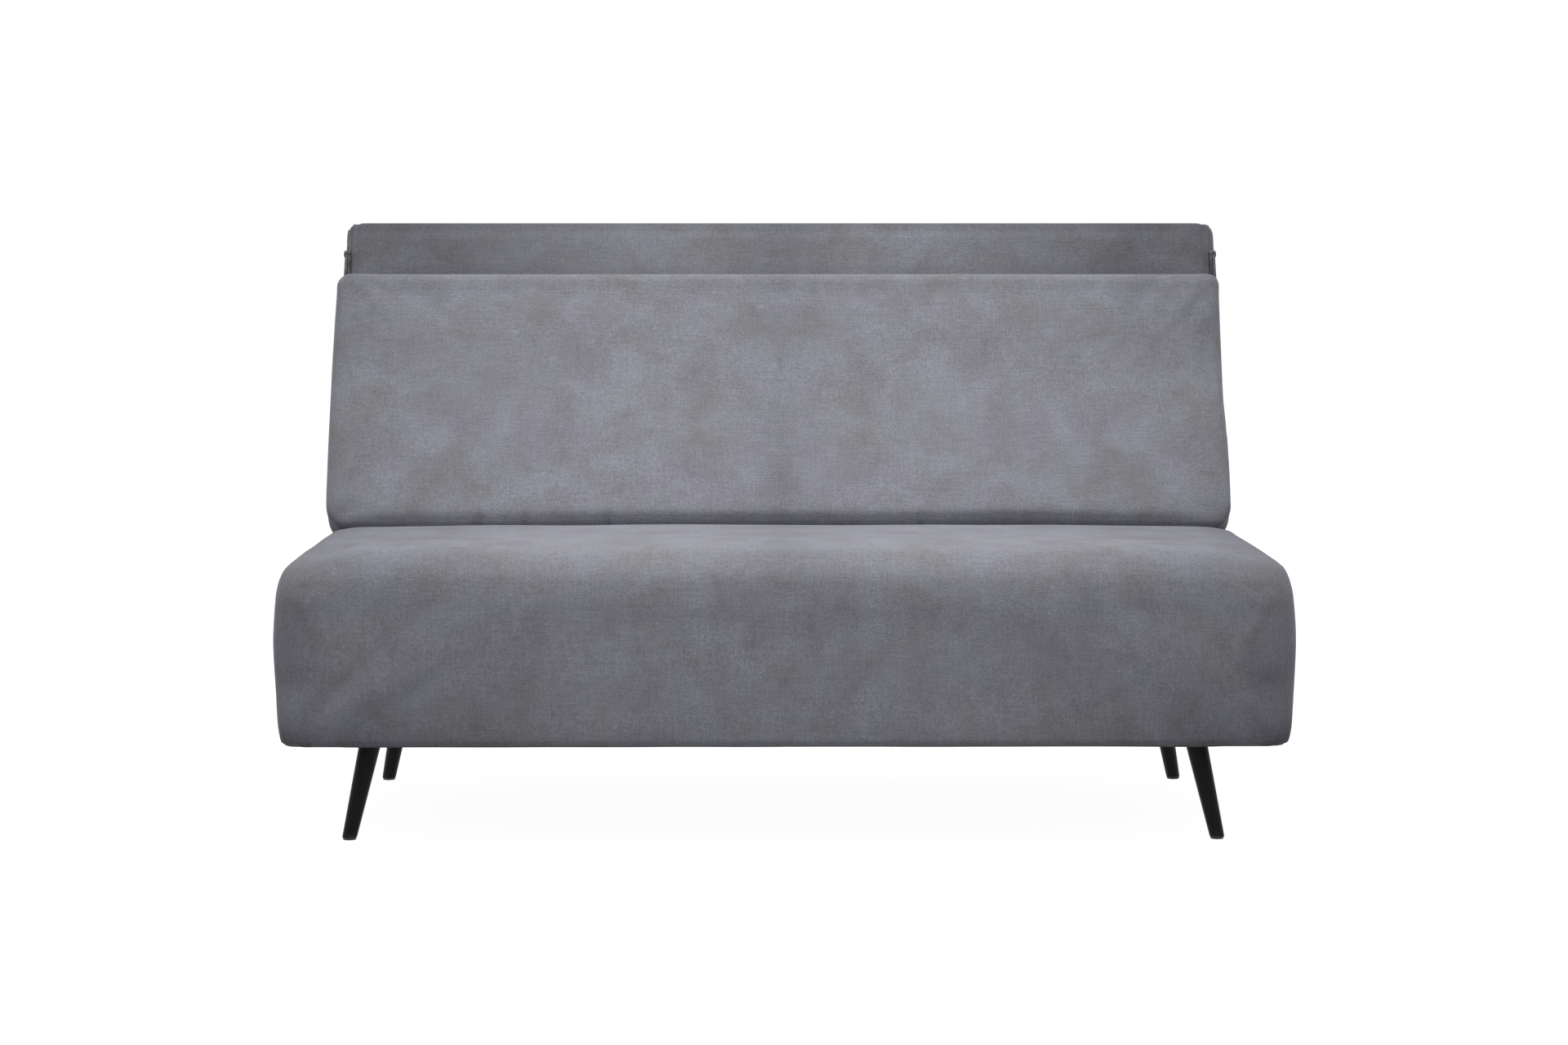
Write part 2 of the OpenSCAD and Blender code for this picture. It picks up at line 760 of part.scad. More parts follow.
module panel_slats(frame_half, l, rows) {
  translate([0, 0, -rail_top])
    slat_fields(frame_half - rail_inset - rail_w, panel_wall + fit, l - panel_wall - fit, rows);
}

module panel_holders(frame_half, l, rows) {
  translate([0, 0, -rail_top])
    holder_fields(frame_half - rail_inset - rail_w, panel_wall + fit, l - panel_wall - fit, rows);
}

module panel_dust_cover(frame_half, l, open_y) {
  x = frame_half - opening_margin + sheet_margin;
  y0 = open_y - sheet_margin;
  translate([-x, y0, panel_skin - panel_t])
    cube([2 * x, l - opening_margin + sheet_margin - y0, sheet_t]);
}

rear_open_y = strip_l + opening_margin;

module front_back_side_rails() {
  color("burlywood") in_front_back() panel_side_rails(front_back_frame_half, front_back_l);
}

module front_back_cross_rails() {
  color("burlywood") in_front_back() panel_cross_rails(front_back_frame_half, front_back_l);
}

module front_back_centre_rail() {
  color("burlywood") in_front_back() panel_centre_rail(front_back_l);
}

module front_back_slats() {
  color("wheat") in_front_back()
    panel_slats(front_back_frame_half, front_back_l, front_back_rows);
}

module front_back_slat_holders() {
  color("dimgray") in_front_back()
    panel_holders(front_back_frame_half, front_back_l, front_back_rows);
}

module front_back_foam() {
  color("lightyellow") in_front_back() panel_foam(front_half, front_back_l);
}

module front_back_cover() {
  color("slategray") in_front_back()
    panel_cover(front_half, front_back_frame_half, front_back_l, -overrun, opening_margin);
}

module front_back_dust_cover() {
  color("#222222") in_front_back()
    panel_dust_cover(front_back_frame_half, front_back_l, opening_margin);
}

module rear_back_side_rails() {
  color("burlywood") in_rear_back() panel_side_rails(rear_back_frame_half, rear_back_l);
}

module rear_back_cross_rails() {
  color("burlywood") in_rear_back() panel_cross_rails(rear_back_frame_half, rear_back_l);
}

module rear_back_centre_rail() {
  color("burlywood") in_rear_back() panel_centre_rail(rear_back_l);
}

module rear_back_slats() {
  color("wheat") in_rear_back()
    panel_slats(rear_back_frame_half, rear_back_l, rear_back_rows);
}

module rear_back_slat_holders() {
  color("dimgray") in_rear_back()
    panel_holders(rear_back_frame_half, rear_back_l, rear_back_rows);
}

module rear_back_foam() {
  color("lightyellow") in_rear_back() panel_foam(rear_half, rear_back_l);
}

module rear_back_cover() {
  color("slategray") in_rear_back()
    panel_cover(rear_half, rear_back_frame_half, rear_back_l, strip_l, rear_open_y);
}

module rear_back_dust_cover() {
  color("#222222") in_rear_back()
    panel_dust_cover(rear_back_frame_half, rear_back_l, rear_open_y);
}

// Recline arms: from the pin to the front back section's side rails
module recline_arm() {
  difference() {
    side_plate(arm_x, plate_t) bar_2d(arm_pin, arm_end, eye_r);
    cross_bar(arm_x - overrun, arm_pin[0], arm_pin[1], plate_t + 2 * overrun,
              recline_pin_d / 2 + pin_clear);
    for (p = arm_bolts)
      cross_bar(arm_x - overrun, p[0], p[1], plate_t + 2 * overrun, bolt_r + pin_clear);
  }
}

module recline_arm_left() {
  color("#3a3a3c") in_front_back() mirror([1, 0, 0]) recline_arm();
}

module recline_arm_right() {
  color("#3a3a3c") in_front_back() recline_arm();
}

module recline_arm_bolts() {
  color("silver") in_front_back() both_sides() for (p = arm_bolts)
    side_bolt(arm_x + plate_t, p[0], p[1], plate_t + rail_inset + bolt_grip);
}

// Fold arms: from the front back section's rails to the fold pins
module fold_arm() {
  start = [fold_arm_start, -fold_arm_depth];
  bend = [fold_arm_bend, -fold_arm_depth];
  pin = [fold_y, -fold_depth];
  difference() {
    side_plate(fold_arm_x, plate_t) {
      bar_2d(start, bend, fold_eye_r);
      bar_2d(bend, pin, fold_eye_r);
    }
    cross_bar(fold_arm_x - overrun, pin[0], pin[1], plate_t + 2 * overrun,
              fold_pin_d / 2 + pin_clear);
    for (y = fold_arm_bolt_ys)
      cross_bar(fold_arm_x - overrun, y, -fold_arm_depth, plate_t + 2 * overrun,
                bolt_r + pin_clear);
  }
}

module fold_arm_left() {
  color("#3a3a3c") in_front_back() mirror([1, 0, 0]) fold_arm();
}

module fold_arm_right() {
  color("#3a3a3c") in_front_back() fold_arm();
}

// A low bolt head at x, its shank to the rail and a spacer down to face_x
module spaced_bolt(x, y, z, face_x) {
  cross_bar(x, y, z, fold_head_h, fold_head_r, round_fn / 2);
  cross_bar(face_x - bolt_grip, y, z, x - face_x + bolt_grip + fold_head_h / 2,
            bolt_r, round_fn / 2);
  cross_bar(face_x, y, z, x - plate_t - face_x, spacer_r, round_fn / 2);
}

module fold_arm_bolts() {
  color("silver") in_front_back() both_sides() for (y = fold_arm_bolt_ys)
    spaced_bolt(fold_arm_x + plate_t, y, -fold_arm_depth, front_back_frame_half);
}

// Fold leaves: from the fold pins to the rear back section's side rails
module fold_leaf() {
  pin = [rear_fold_y, -fold_depth];
  difference() {
    side_plate(fold_leaf_x, plate_t) {
      bar_2d(pin, leaf_knee, fold_eye_r);
      bar_2d(leaf_knee, leaf_end, fold_eye_r);
    }
    cross_bar(fold_leaf_x - overrun, pin[0], pin[1], plate_t + 2 * overrun,
              fold_pin_d / 2 + pin_clear);
    for (p = leaf_bolts)
      cross_bar(fold_leaf_x - overrun, p[0], p[1], plate_t + 2 * overrun, bolt_r + pin_clear);
  }
}

module fold_leaf_left() {
  color("#3a3a3c") in_rear_back() mirror([1, 0, 0]) fold_leaf();
}

module fold_leaf_right() {
  color("#3a3a3c") in_rear_back() fold_leaf();
}

module fold_leaf_bolts() {
  color("silver") in_rear_back() both_sides() for (p = leaf_bolts)
    spaced_bolt(fold_leaf_x + plate_t, p[0], p[1], rear_back_frame_half);
}

module fold_pins() {
  l = fold_arm_x + plate_t + fit - fold_leaf_x;
  color("silver") in_rear_back() both_sides() {
    cross_bar(fold_leaf_x, rear_fold_y, -fold_depth, l + fold_head_h / 2, fold_pin_d / 2);
    cross_bar(fold_leaf_x + l, rear_fold_y, -fold_depth, fold_head_h, fold_head_r);
  }
}

// Support legs

module support_leg_pins() {
  x = support_x + support_t + fit;
  grip = x - rear_back_frame_half + rail_inset + rail_w / 2;
  color("silver") in_rear_back() both_sides() {
    cross_bar(x - grip, support_pin_y, -support_pin_depth, grip + rivet_head_h / 2,
              support_pin_r);
    cross_bar(x, support_pin_y, -support_pin_depth, rivet_head_h, rivet_head_r);
    cross_bar(rear_back_frame_half, support_pin_y, -support_pin_depth,
              support_x - fit - rear_back_frame_half, support_spacer_r);
  }
}

module support_leg() {
  r = support_w / 2;
  tip = support_pin_y - support_l + r + support_foot_wall;
  difference() {
    side_plate(support_x, support_t)
      bar_2d([support_pin_y, -support_pin_depth], [tip, -support_pin_depth], r);
    cross_bar(support_x - overrun, support_pin_y, -support_pin_depth,
              support_t + 2 * overrun, support_pin_r + pin_clear);
  }
}

module support_leg_left() {
  color("#3a3a3c") in_rear_back() mirror([1, 0, 0]) support_leg();
}

module support_leg_right() {
  color("#3a3a3c") in_rear_back() support_leg();
}

// Plastic caps over the support legs' ends
module support_leg_feet() {
  r = support_w / 2;
  tip = support_pin_y - support_l + r + support_foot_wall;
  edge = tip - r + support_foot_l;
  color("#2a2a2a") in_rear_back() both_sides() difference() {
    side_plate(support_x - support_foot_wall / 2, support_t + support_foot_wall)
      intersection() {
        bar_2d([edge + support_w, -support_pin_depth], [tip, -support_pin_depth],
               r + support_foot_wall);
        translate([tip - support_w, -support_pin_depth - support_w])
          square([edge - tip + support_w, 2 * support_w]);
      }
    side_plate(support_x, support_t)
      bar_2d([edge + support_w, -support_pin_depth], [tip, -support_pin_depth], r);
  }
}

front_board();
rear_board();
side_board_left();
side_board_right();
centre_beam();
leg_blocks();
seat_slats();
seat_slat_holders();
seat_foam();
seat_cover();
seat_dust_cover();
leg_front_left();
leg_front_right();
leg_rear_left();
leg_rear_right();
foot_glides();
leg_plates();
leg_bolts();
leg_plate_screws();
hinge_bracket_left();
hinge_bracket_right();
hinge_bracket_bolts();
recline_pins();
front_back_side_rails();
front_back_cross_rails();
front_back_centre_rail();
front_back_slats();
front_back_slat_holders();
front_back_foam();
front_back_cover();
front_back_dust_cover();
recline_arm_left();
recline_arm_right();
recline_arm_bolts();
fold_arm_left();
fold_arm_right();
fold_arm_bolts();
rear_back_side_rails();
rear_back_cross_rails();
rear_back_centre_rail();
rear_back_slats();
rear_back_slat_holders();
rear_back_foam();
rear_back_cover();
rear_back_dust_cover();
fold_leaf_left();
fold_leaf_right();
fold_leaf_bolts();
fold_pins();
support_leg_pins();
support_leg_left();
support_leg_right();
support_leg_feet();
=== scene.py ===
# %% [markdown]
# # An armless sofa that folds out into a bed
#
# The sofa has three sections: a seat on four splayed legs, a front back section that leans on the
# seat's rear edge, and a rear back section folded behind it. This lesson dresses the imported frame:
# loose suede-like covers over foam, black dust covers underneath, lacquered legs and folding
# ironwork. Everything is in metres and shares the frame's origin, on the floor under the middle.
#
# The first step loads the frame. The finished sofa has to stay as large.

# %% Load the frame
import json
import math

import bmesh
import bpy
import numpy as np
from mathutils import Matrix, Vector, noise
from mathutils.bvhtree import BVHTree


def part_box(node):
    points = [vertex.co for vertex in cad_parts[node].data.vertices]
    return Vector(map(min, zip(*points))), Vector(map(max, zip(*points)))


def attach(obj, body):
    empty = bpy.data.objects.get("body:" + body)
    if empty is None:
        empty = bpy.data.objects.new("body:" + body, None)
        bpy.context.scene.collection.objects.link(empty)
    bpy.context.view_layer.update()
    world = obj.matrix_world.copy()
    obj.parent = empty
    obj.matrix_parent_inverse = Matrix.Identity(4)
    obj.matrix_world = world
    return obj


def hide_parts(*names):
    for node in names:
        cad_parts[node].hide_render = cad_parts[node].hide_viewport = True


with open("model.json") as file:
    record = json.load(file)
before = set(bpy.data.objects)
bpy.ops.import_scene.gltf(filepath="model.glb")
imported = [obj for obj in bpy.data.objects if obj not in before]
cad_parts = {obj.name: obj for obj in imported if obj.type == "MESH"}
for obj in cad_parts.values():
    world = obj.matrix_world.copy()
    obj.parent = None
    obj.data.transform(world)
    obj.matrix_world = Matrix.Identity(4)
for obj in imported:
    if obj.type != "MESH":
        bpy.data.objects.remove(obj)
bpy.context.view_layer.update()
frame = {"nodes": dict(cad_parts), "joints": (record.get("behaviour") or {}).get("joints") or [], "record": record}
MM = 0.001

# %% [markdown]
# ## Where the sections are
#
# The seat lies level. Each back section is drawn as it lies when the bed is flat, with X across,
# Y along its length and Z as the height over its soft face. One matrix then leans it back, and a
# second one folds the rear section behind the front one. Both come from the frame's own hinges,
# so a cover lands exactly round its rails.

# %% Sizes and the two placing matrices
hinges = {j["name"]: j for j in frame["joints"]}
pin = Vector(hinges["back_recline"]["pos_m"])
fold = Vector(hinges["rear_unfold"]["pos_m"])
lean_angle = math.radians(hinges["back_recline"]["range_deg"][1])
seat_low, seat_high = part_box("seat_cover")
SEAT_HALF = seat_high.x
FRONT_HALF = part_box("front_back_cover")[1].x
REAR_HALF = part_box("rear_back_cover")[1].x
FRONT_L = 461 * MM
REAR_L = 585 * MM
PANEL_T = 95 * MM
PIN_TO_JOINT = 54 * MM
PIN_DEPTH = seat_high.z - pin.z
REAR_FOLD_Y = 61 * MM
joint_y = pin.y + PIN_TO_JOINT

front_place = (Matrix.Translation(pin) @ Matrix.Rotation(lean_angle, 4, "X")
               @ Matrix.Translation((0, PIN_TO_JOINT, PIN_DEPTH)))
fold_in_front = front_place.inverted() @ fold
rear_place = (front_place @ Matrix.Translation(fold_in_front) @ Matrix.Rotation(math.pi, 4, "X")
              @ Matrix.Translation((0, -REAR_FOLD_Y, -fold_in_front.z)))
seat_place = Matrix.Identity(4)
print("recline pin", [round(c, 4) for c in pin], "fold in the front section",
      [round(c, 4) for c in fold_in_front])

# %% [markdown]
# ## The camera
#
# The sofa is seen from the front with a long lens, from five and a half metres away and from the
# height of its own back. The view is turned less than half a degree to the right.

# %% Camera
CAMERA_PLACE = (-0.0366, -5.5505, 0.9588)
TILT_DOWN = math.radians(5.2086)
TURN_RIGHT = math.radians(0.4136)
SENSOR_WIDTH = 36
FOCAL_LENGTH = 77.25
camera_data = bpy.data.cameras.new("Camera")
camera_data.sensor_width = SENSOR_WIDTH
camera_data.lens = FOCAL_LENGTH
camera = bpy.data.objects.new("Camera", camera_data)
camera.location = CAMERA_PLACE
camera.rotation_euler = (math.pi / 2 - TILT_DOWN, 0, -TURN_RIGHT)
bpy.context.scene.collection.objects.link(camera)
bpy.context.scene.camera = camera
print("camera at", [round(c, 3) for c in camera.location])

# %% [markdown]
# ## Light and floor
#
# A studio lights such a sofa with one wide soft box high in front of it, and white walls fill the
# shadows. An area lamp and an even world do the same here. The floor and the world look white to
# the camera through Light Path, so the white comes from their colour and not from more light on
# the cloth. The floor keeps part of the sofa's real shadow.

# %% Lamps
bpy.context.scene.view_settings.view_transform = "Standard"


def soft_box(name, place, aim, width, depth, watts, spread):
    """A rectangular lamp that faces the point it is aimed at. spread is its cone in degrees."""
    lamp = bpy.data.lights.new(name, "AREA")
    lamp.shape = "RECTANGLE"
    lamp.size, lamp.size_y = width, depth
    lamp.energy = watts
    lamp.spread = math.radians(spread)
    holder = bpy.data.objects.new(name, lamp)
    holder.location = place
    holder.rotation_euler = (Vector(aim) - Vector(place)).to_track_quat("-Z", "Y").to_euler()
    bpy.context.scene.collection.objects.link(holder)


soft_box("Key light", place=(-0.18, -2.2, 8.8), aim=(-0.12, -0.1, 0.45), width=4.2, depth=2.7,
         watts=150, spread=70)

# %% World and floor
FILL_STRENGTH = 0.66
FLOOR_HALF = 14
FLOOR_PAINT = (0.21, 0.21, 0.21, 1)
FLOOR_LIT = (0.9, 0.9, 0.9, 1)
FLOOR_GLOW = 1.19
GLOW_SHARE = 0.8


def shows_to_lens(nodes, links):
    """1 for rays that come from the camera, or by way of gloss or glass, else 0."""
    path = nodes.new("ShaderNodeLightPath")
    first = nodes.new("ShaderNodeMath")
    first.operation = "MAXIMUM"
    links.new(path.outputs["Is Camera Ray"], first.inputs[0])
    links.new(path.outputs["Is Glossy Ray"], first.inputs[1])
    both = nodes.new("ShaderNodeMath")
    both.operation = "MAXIMUM"
    links.new(first.outputs[0], both.inputs[0])
    links.new(path.outputs["Is Transmission Ray"], both.inputs[1])
    return both.outputs[0]


def build_world():
    """Even fill light, seen as white by the camera."""
    world = bpy.data.worlds.new("Studio")
    bpy.context.scene.world = world
    world.use_nodes = True
    nodes, links = world.node_tree.nodes, world.node_tree.links
    nodes.clear()
    fill = nodes.new("ShaderNodeBackground")
    fill.inputs["Color"].default_value = (0.97, 0.98, 1, 1)
    fill.inputs["Strength"].default_value = FILL_STRENGTH
    white = nodes.new("ShaderNodeBackground")
    white.inputs["Color"].default_value = (1, 1, 1, 1)
    mix = nodes.new("ShaderNodeMixShader")
    links.new(shows_to_lens(nodes, links), mix.inputs[0])
    links.new(fill.outputs[0], mix.inputs[1])
    links.new(white.outputs[0], mix.inputs[2])
    links.new(mix.outputs[0], nodes.new("ShaderNodeOutputWorld").inputs[0])


def build_floor():
    """A wide floor that looks white and keeps a pale shadow."""
    bm = bmesh.new()
    bmesh.ops.create_grid(bm, x_segments=8, y_segments=8, size=FLOOR_HALF)
    mesh = bpy.data.meshes.new("Floor")
    bm.to_mesh(mesh)
    bm.free()
    floor = bpy.data.objects.new("Floor", mesh)
    bpy.context.scene.collection.objects.link(floor)
    material = bpy.data.materials.new("White floor")
    material.use_nodes = True
    nodes, links = material.node_tree.nodes, material.node_tree.links
    nodes.clear()
    paint = nodes.new("ShaderNodeBsdfDiffuse")
    paint.inputs["Color"].default_value = FLOOR_PAINT
    lit = nodes.new("ShaderNodeBsdfDiffuse")
    lit.inputs["Color"].default_value = FLOOR_LIT
    white = nodes.new("ShaderNodeEmission")
    white.inputs["Strength"].default_value = FLOOR_GLOW
    seen = nodes.new("ShaderNodeMixShader")
    seen.inputs[0].default_value = GLOW_SHARE
    links.new(lit.outputs[0], seen.inputs[1])
    links.new(white.outputs[0], seen.inputs[2])
    mix = nodes.new("ShaderNodeMixShader")
    links.new(shows_to_lens(nodes, links), mix.inputs[0])
    links.new(paint.outputs[0], mix.inputs[1])
    links.new(seen.outputs[0], mix.inputs[2])
    links.new(mix.outputs[0], nodes.new("ShaderNodeOutputMaterial").inputs[0])
    mesh.materials.append(material)


build_world()
build_floor()
print("world fill", FILL_STRENGTH)

# %% [markdown]
# ## Shared shader groups
#
# The cloth is a brushed, suede-like weave: fine threads along and across, a cloudy nap where the
# pile lies in different ways, and soft slanting streaks at the corners where the loose cover is
# pulled. These streaks are painted light and shade of the shallow folds there, with the pile's own
# streaks. Each effect is one node group with named inputs, used by several materials with their
# own values. All of them work from a point on the object, so they need no unwrapping.

# %% Small helpers for node groups


def new_group(name, inputs, outputs):
    """A shader group with named sockets: inputs are (name, type, value), outputs (name, type)."""
    group = bpy.data.node_groups.new(name, "ShaderNodeTree")
    for label, kind, value in inputs:
        socket = group.interface.new_socket(label, in_out="INPUT", socket_type=kind)
        if value is not None:
            socket.default_value = value
    for label, kind in outputs:
        group.interface.new_socket(label, in_out="OUTPUT", socket_type=kind)
    ends = group.nodes.new("NodeGroupInput"), group.nodes.new("NodeGroupOutput")
    return group, ends[0].outputs, ends[1].inputs


def plug(tree, value, socket):
    """Links a socket, or sets a number or colour."""
    if isinstance(value, bpy.types.NodeSocket):
        tree.links.new(value, socket)
    else:
        socket.default_value = value


def calc(tree, operation, *values):
    """A Math node, and its output."""
    node = tree.nodes.new("ShaderNodeMath")
    node.operation = operation
    for value, socket in zip(values, node.inputs):
        plug(tree, value, socket)
    return node.outputs[0]


def point_math(tree, operation, *values):
    """A Vector Math node, and its output."""
    node = tree.nodes.new("ShaderNodeVectorMath")
    node.operation = operation
    for value, socket in zip(values, node.inputs):
        plug(tree, value, socket)
    return node.outputs["Value" if operation in ("LENGTH", "DOT_PRODUCT") else "Vector"]


def cloud(tree, place, scale, detail=2.0, roughness=0.5, distortion=0.0):
    """A Noise Texture, and its grey output."""
    node = tree.nodes.new("ShaderNodeTexNoise")
    for label, value in (("Vector", place), ("Scale", scale), ("Detail", detail),
                         ("Roughness", roughness), ("Distortion", distortion)):
        plug(tree, value, node.inputs[label])
    return node.outputs[0]


def remap(tree, value, low, high, to_low=0.0, to_high=1.0):
    """A clamped Map Range node, and its output."""
    node = tree.nodes.new("ShaderNodeMapRange")
    for v, socket in zip((value, low, high, to_low, to_high), node.inputs):
        plug(tree, v, socket)
    return node.outputs[0]


def blend_colours(tree, share, first, second):
    """A colour mix, and its output."""
    node = tree.nodes.new("ShaderNodeMix")
    node.data_type = "RGBA"
    plug(tree, share, node.inputs[0])
    plug(tree, first, node.inputs[6])
    plug(tree, second, node.inputs[7])
    return node.outputs[2]


def tinted(tree, mask, strength, colour, tint):
    """A colour with some of a tint laid over it where the mask is strong."""
    return blend_colours(tree, calc(tree, "MULTIPLY", mask, strength), colour, tint)


print("helpers ready")

# %% Thread weave


def make_weave():
    """Slubby threads in two directions and a short nap, as a shade round 0.5 and a height."""
    group, given, result = new_group(
        "Thread weave",
        [("Place", "NodeSocketVector", None), ("Thread", "NodeSocketFloat", 0.0016),
         ("Slub", "NodeSocketFloat", 0.02)],
        [("Shade", "NodeSocketFloat"), ("Height", "NodeSocketFloat")])
    fine = calc(group, "DIVIDE", 1.0, given["Thread"])
    long = calc(group, "DIVIDE", 1.0, given["Slub"])
    layers = []
    for pattern in ((0, 1, 1), (1, 0, 0), (0, 1, 0)):
        scale = group.nodes.new("ShaderNodeCombineXYZ")
        for wanted, socket in zip(pattern, scale.inputs):
            group.links.new(fine if wanted else long, socket)
        layers.append(cloud(group, point_math(group, "MULTIPLY", given["Place"], scale.outputs[0]),
                            1.0, 1.0))
    nap = cloud(group, given["Place"], calc(group, "MULTIPLY", fine, 1.6), 1.0)
    threads = calc(group, "ADD", calc(group, "MULTIPLY", layers[0], 0.4),
                   calc(group, "MULTIPLY", layers[1], 0.35))
    threads = calc(group, "ADD", threads, calc(group, "MULTIPLY", layers[2], 0.25))
    both = calc(group, "ADD", calc(group, "MULTIPLY", threads, 0.7),
                calc(group, "MULTIPLY", nap, 0.3))
    group.links.new(both, result["Shade"])
    group.links.new(calc(group, "ADD", threads, calc(group, "MULTIPLY", nap, 0.5)),
                    result["Height"])
    return group


weave_group = make_weave()
print("group:", weave_group.name)

# %% Cloudy nap


def make_clouds():
    """Soft blotches where the brushed pile lies differently, alike on the left and the right."""
    group, given, result = new_group(
        "Cloudy nap",
        [("Place", "NodeSocketVector", None), ("Size", "NodeSocketFloat", 0.11),
         ("Offset", "NodeSocketFloat", 0.0)],
        [("Light", "NodeSocketFloat"), ("Hue", "NodeSocketFloat")])
    parts = group.nodes.new("ShaderNodeSeparateXYZ")
    group.links.new(given["Place"], parts.inputs[0])
    mirrored = group.nodes.new("ShaderNodeCombineXYZ")
    group.links.new(calc(group, "ABSOLUTE", parts.outputs[0]), mirrored.inputs[0])
    group.links.new(calc(group, "ADD", parts.outputs[1], given["Offset"]), mirrored.inputs[1])
    group.links.new(parts.outputs[2], mirrored.inputs[2])
    scale = calc(group, "DIVIDE", 1.0, given["Size"])
    light = cloud(group, mirrored.outputs[0], scale, 4.0, 0.55, 0.6)
    moved = point_math(group, "ADD", mirrored.outputs[0], (3.1, 1.7, 5.3))
    hue = cloud(group, moved, calc(group, "MULTIPLY", scale, 0.8), 3.0, 0.5, 0.4)
    group.links.new(remap(group, light, 0.34, 0.66), result["Light"])
    group.links.new(remap(group, hue, 0.35, 0.65), result["Hue"])
    return group


clouds_group = make_clouds()
print("group:", clouds_group.name)

# %% Corner streaks: painted light and shade of the folds
SLANT = math.radians(52)


def make_fold_shade():
    """Slanting streaks that run out of a corner of a cover, as a mask round 0.5: painted light and shade of the
    shallow folds there, with the pile's own streaks.
    """
    group, given, result = new_group(
        "Corner fold shade",
        [("Across", "NodeSocketFloat", 0.0), ("Up", "NodeSocketFloat", 0.0),
         ("Corner across", "NodeSocketFloat", 0.75), ("Corner up", "NodeSocketFloat", 0.15),
         ("Reach", "NodeSocketFloat", 0.35), ("Streaks", "NodeSocketFloat", 15.0)],
        [("Mask", "NodeSocketFloat")])
    side = calc(group, "SUBTRACT", given["Corner across"], calc(group, "ABSOLUTE", given["Across"]))
    rise = calc(group, "ABSOLUTE", calc(group, "SUBTRACT", given["Up"], given["Corner up"]))
    along = calc(group, "ADD", calc(group, "MULTIPLY", side, math.cos(SLANT)),
                 calc(group, "MULTIPLY", rise, math.sin(SLANT)))
    beside = calc(group, "SUBTRACT", calc(group, "MULTIPLY", side, math.sin(SLANT)),
                  calc(group, "MULTIPLY", rise, math.cos(SLANT)))
    far = calc(group, "SQRT", calc(group, "ADD", calc(group, "MULTIPLY", side, side),
                                   calc(group, "MULTIPLY", rise, rise)))
    spot = group.nodes.new("ShaderNodeCombineXYZ")
    group.links.new(calc(group, "MULTIPLY", beside, given["Streaks"]), spot.inputs[0])
    group.links.new(calc(group, "MULTIPLY", along, 4.0), spot.inputs[1])
    group.links.new(calc(group, "SIGN", given["Across"]), spot.inputs[2])
    streak = calc(group, "SUBTRACT", cloud(group, spot.outputs[0], 1.0, 2.0, 0.5), 0.5)
    near = remap(group, far, given["Reach"], 0.04)
    group.links.new(calc(group, "MULTIPLY_ADD", streak, near, 0.5), result["Mask"])
    return group


fold_shade_group = make_fold_shade()
print("group:", fold_shade_group.name)

# %% Sewn seam
STITCH_ROW = 0.0052
STITCH_EDGES = (0.0009, 0.0003)
STITCH_SHARE = 0.68
PUCKER_EDGES = (0.02, 0.002)


def make_seam():
    """A sewn seam at distance 0: its groove, the stitches beside it and the puckered cloth."""
    group, given, result = new_group(
        "Sewn seam",
        [("Distance", "NodeSocketFloat", 1.0), ("Along", "NodeSocketFloat", 0.0),
         ("Width", "NodeSocketFloat", 0.0024), ("Stitch", "NodeSocketFloat", 0.0046)],
        [("Groove", "NodeSocketFloat"), ("Height", "NodeSocketFloat")])
    far = calc(group, "ABSOLUTE", given["Distance"])
    groove = remap(group, far, given["Width"], 0.0)
    row = calc(group, "ABSOLUTE", calc(group, "SUBTRACT", far, STITCH_ROW))
    row = remap(group, row, *STITCH_EDGES)
    beat = calc(group, "FRACT", calc(group, "DIVIDE", given["Along"], given["Stitch"]))
    stitches = calc(group, "MULTIPLY", row, calc(group, "LESS_THAN", beat, STITCH_SHARE))
    spot = group.nodes.new("ShaderNodeCombineXYZ")
    group.links.new(calc(group, "MULTIPLY", given["Along"], 90.0), spot.inputs[0])
    group.links.new(calc(group, "MULTIPLY", far, 60.0), spot.inputs[1])
    near = remap(group, far, *PUCKER_EDGES)
    pucker = calc(group, "MULTIPLY", cloud(group, spot.outputs[0], 1.0, 1.0), near)
    height = calc(group, "ADD", calc(group, "MULTIPLY", groove, -1.6),
                  calc(group, "ADD", calc(group, "MULTIPLY", stitches, 0.45), pucker))
    # Groove holds painted shade in the seam's groove and the stitches' own darker thread.
    group.links.new(calc(group, "MAXIMUM", groove, calc(group, "MULTIPLY", stitches, 0.3)),
                    result["Groove"])
    group.links.new(height, result["Height"])
    return group


seam_group = make_seam()
print("group:", seam_group.name)

# %% Wood grain and dust


def make_grain():
    """Long grain along one axis with fine pores, as a mask and a height."""
    group, given, result = new_group(
        "Wood grain",
        [("Place", "NodeSocketVector", None), ("Stretch", "NodeSocketVector", (3, 60, 60))],
        [("Grain", "NodeSocketFloat"), ("Pores", "NodeSocketFloat")])
    stretched = point_math(group, "MULTIPLY", given["Place"], given["Stretch"])
    rings = cloud(group, stretched, 1.0, 4.0, 0.6, 1.2)
    pores = cloud(group, point_math(group, "MULTIPLY", stretched, (2.0, 9.0, 9.0)), 1.0, 2.0, 0.5)
    group.links.new(remap(group, rings, 0.3, 0.7), result["Grain"])
    group.links.new(remap(group, pores, 0.35, 0.65), result["Pores"])
    return group


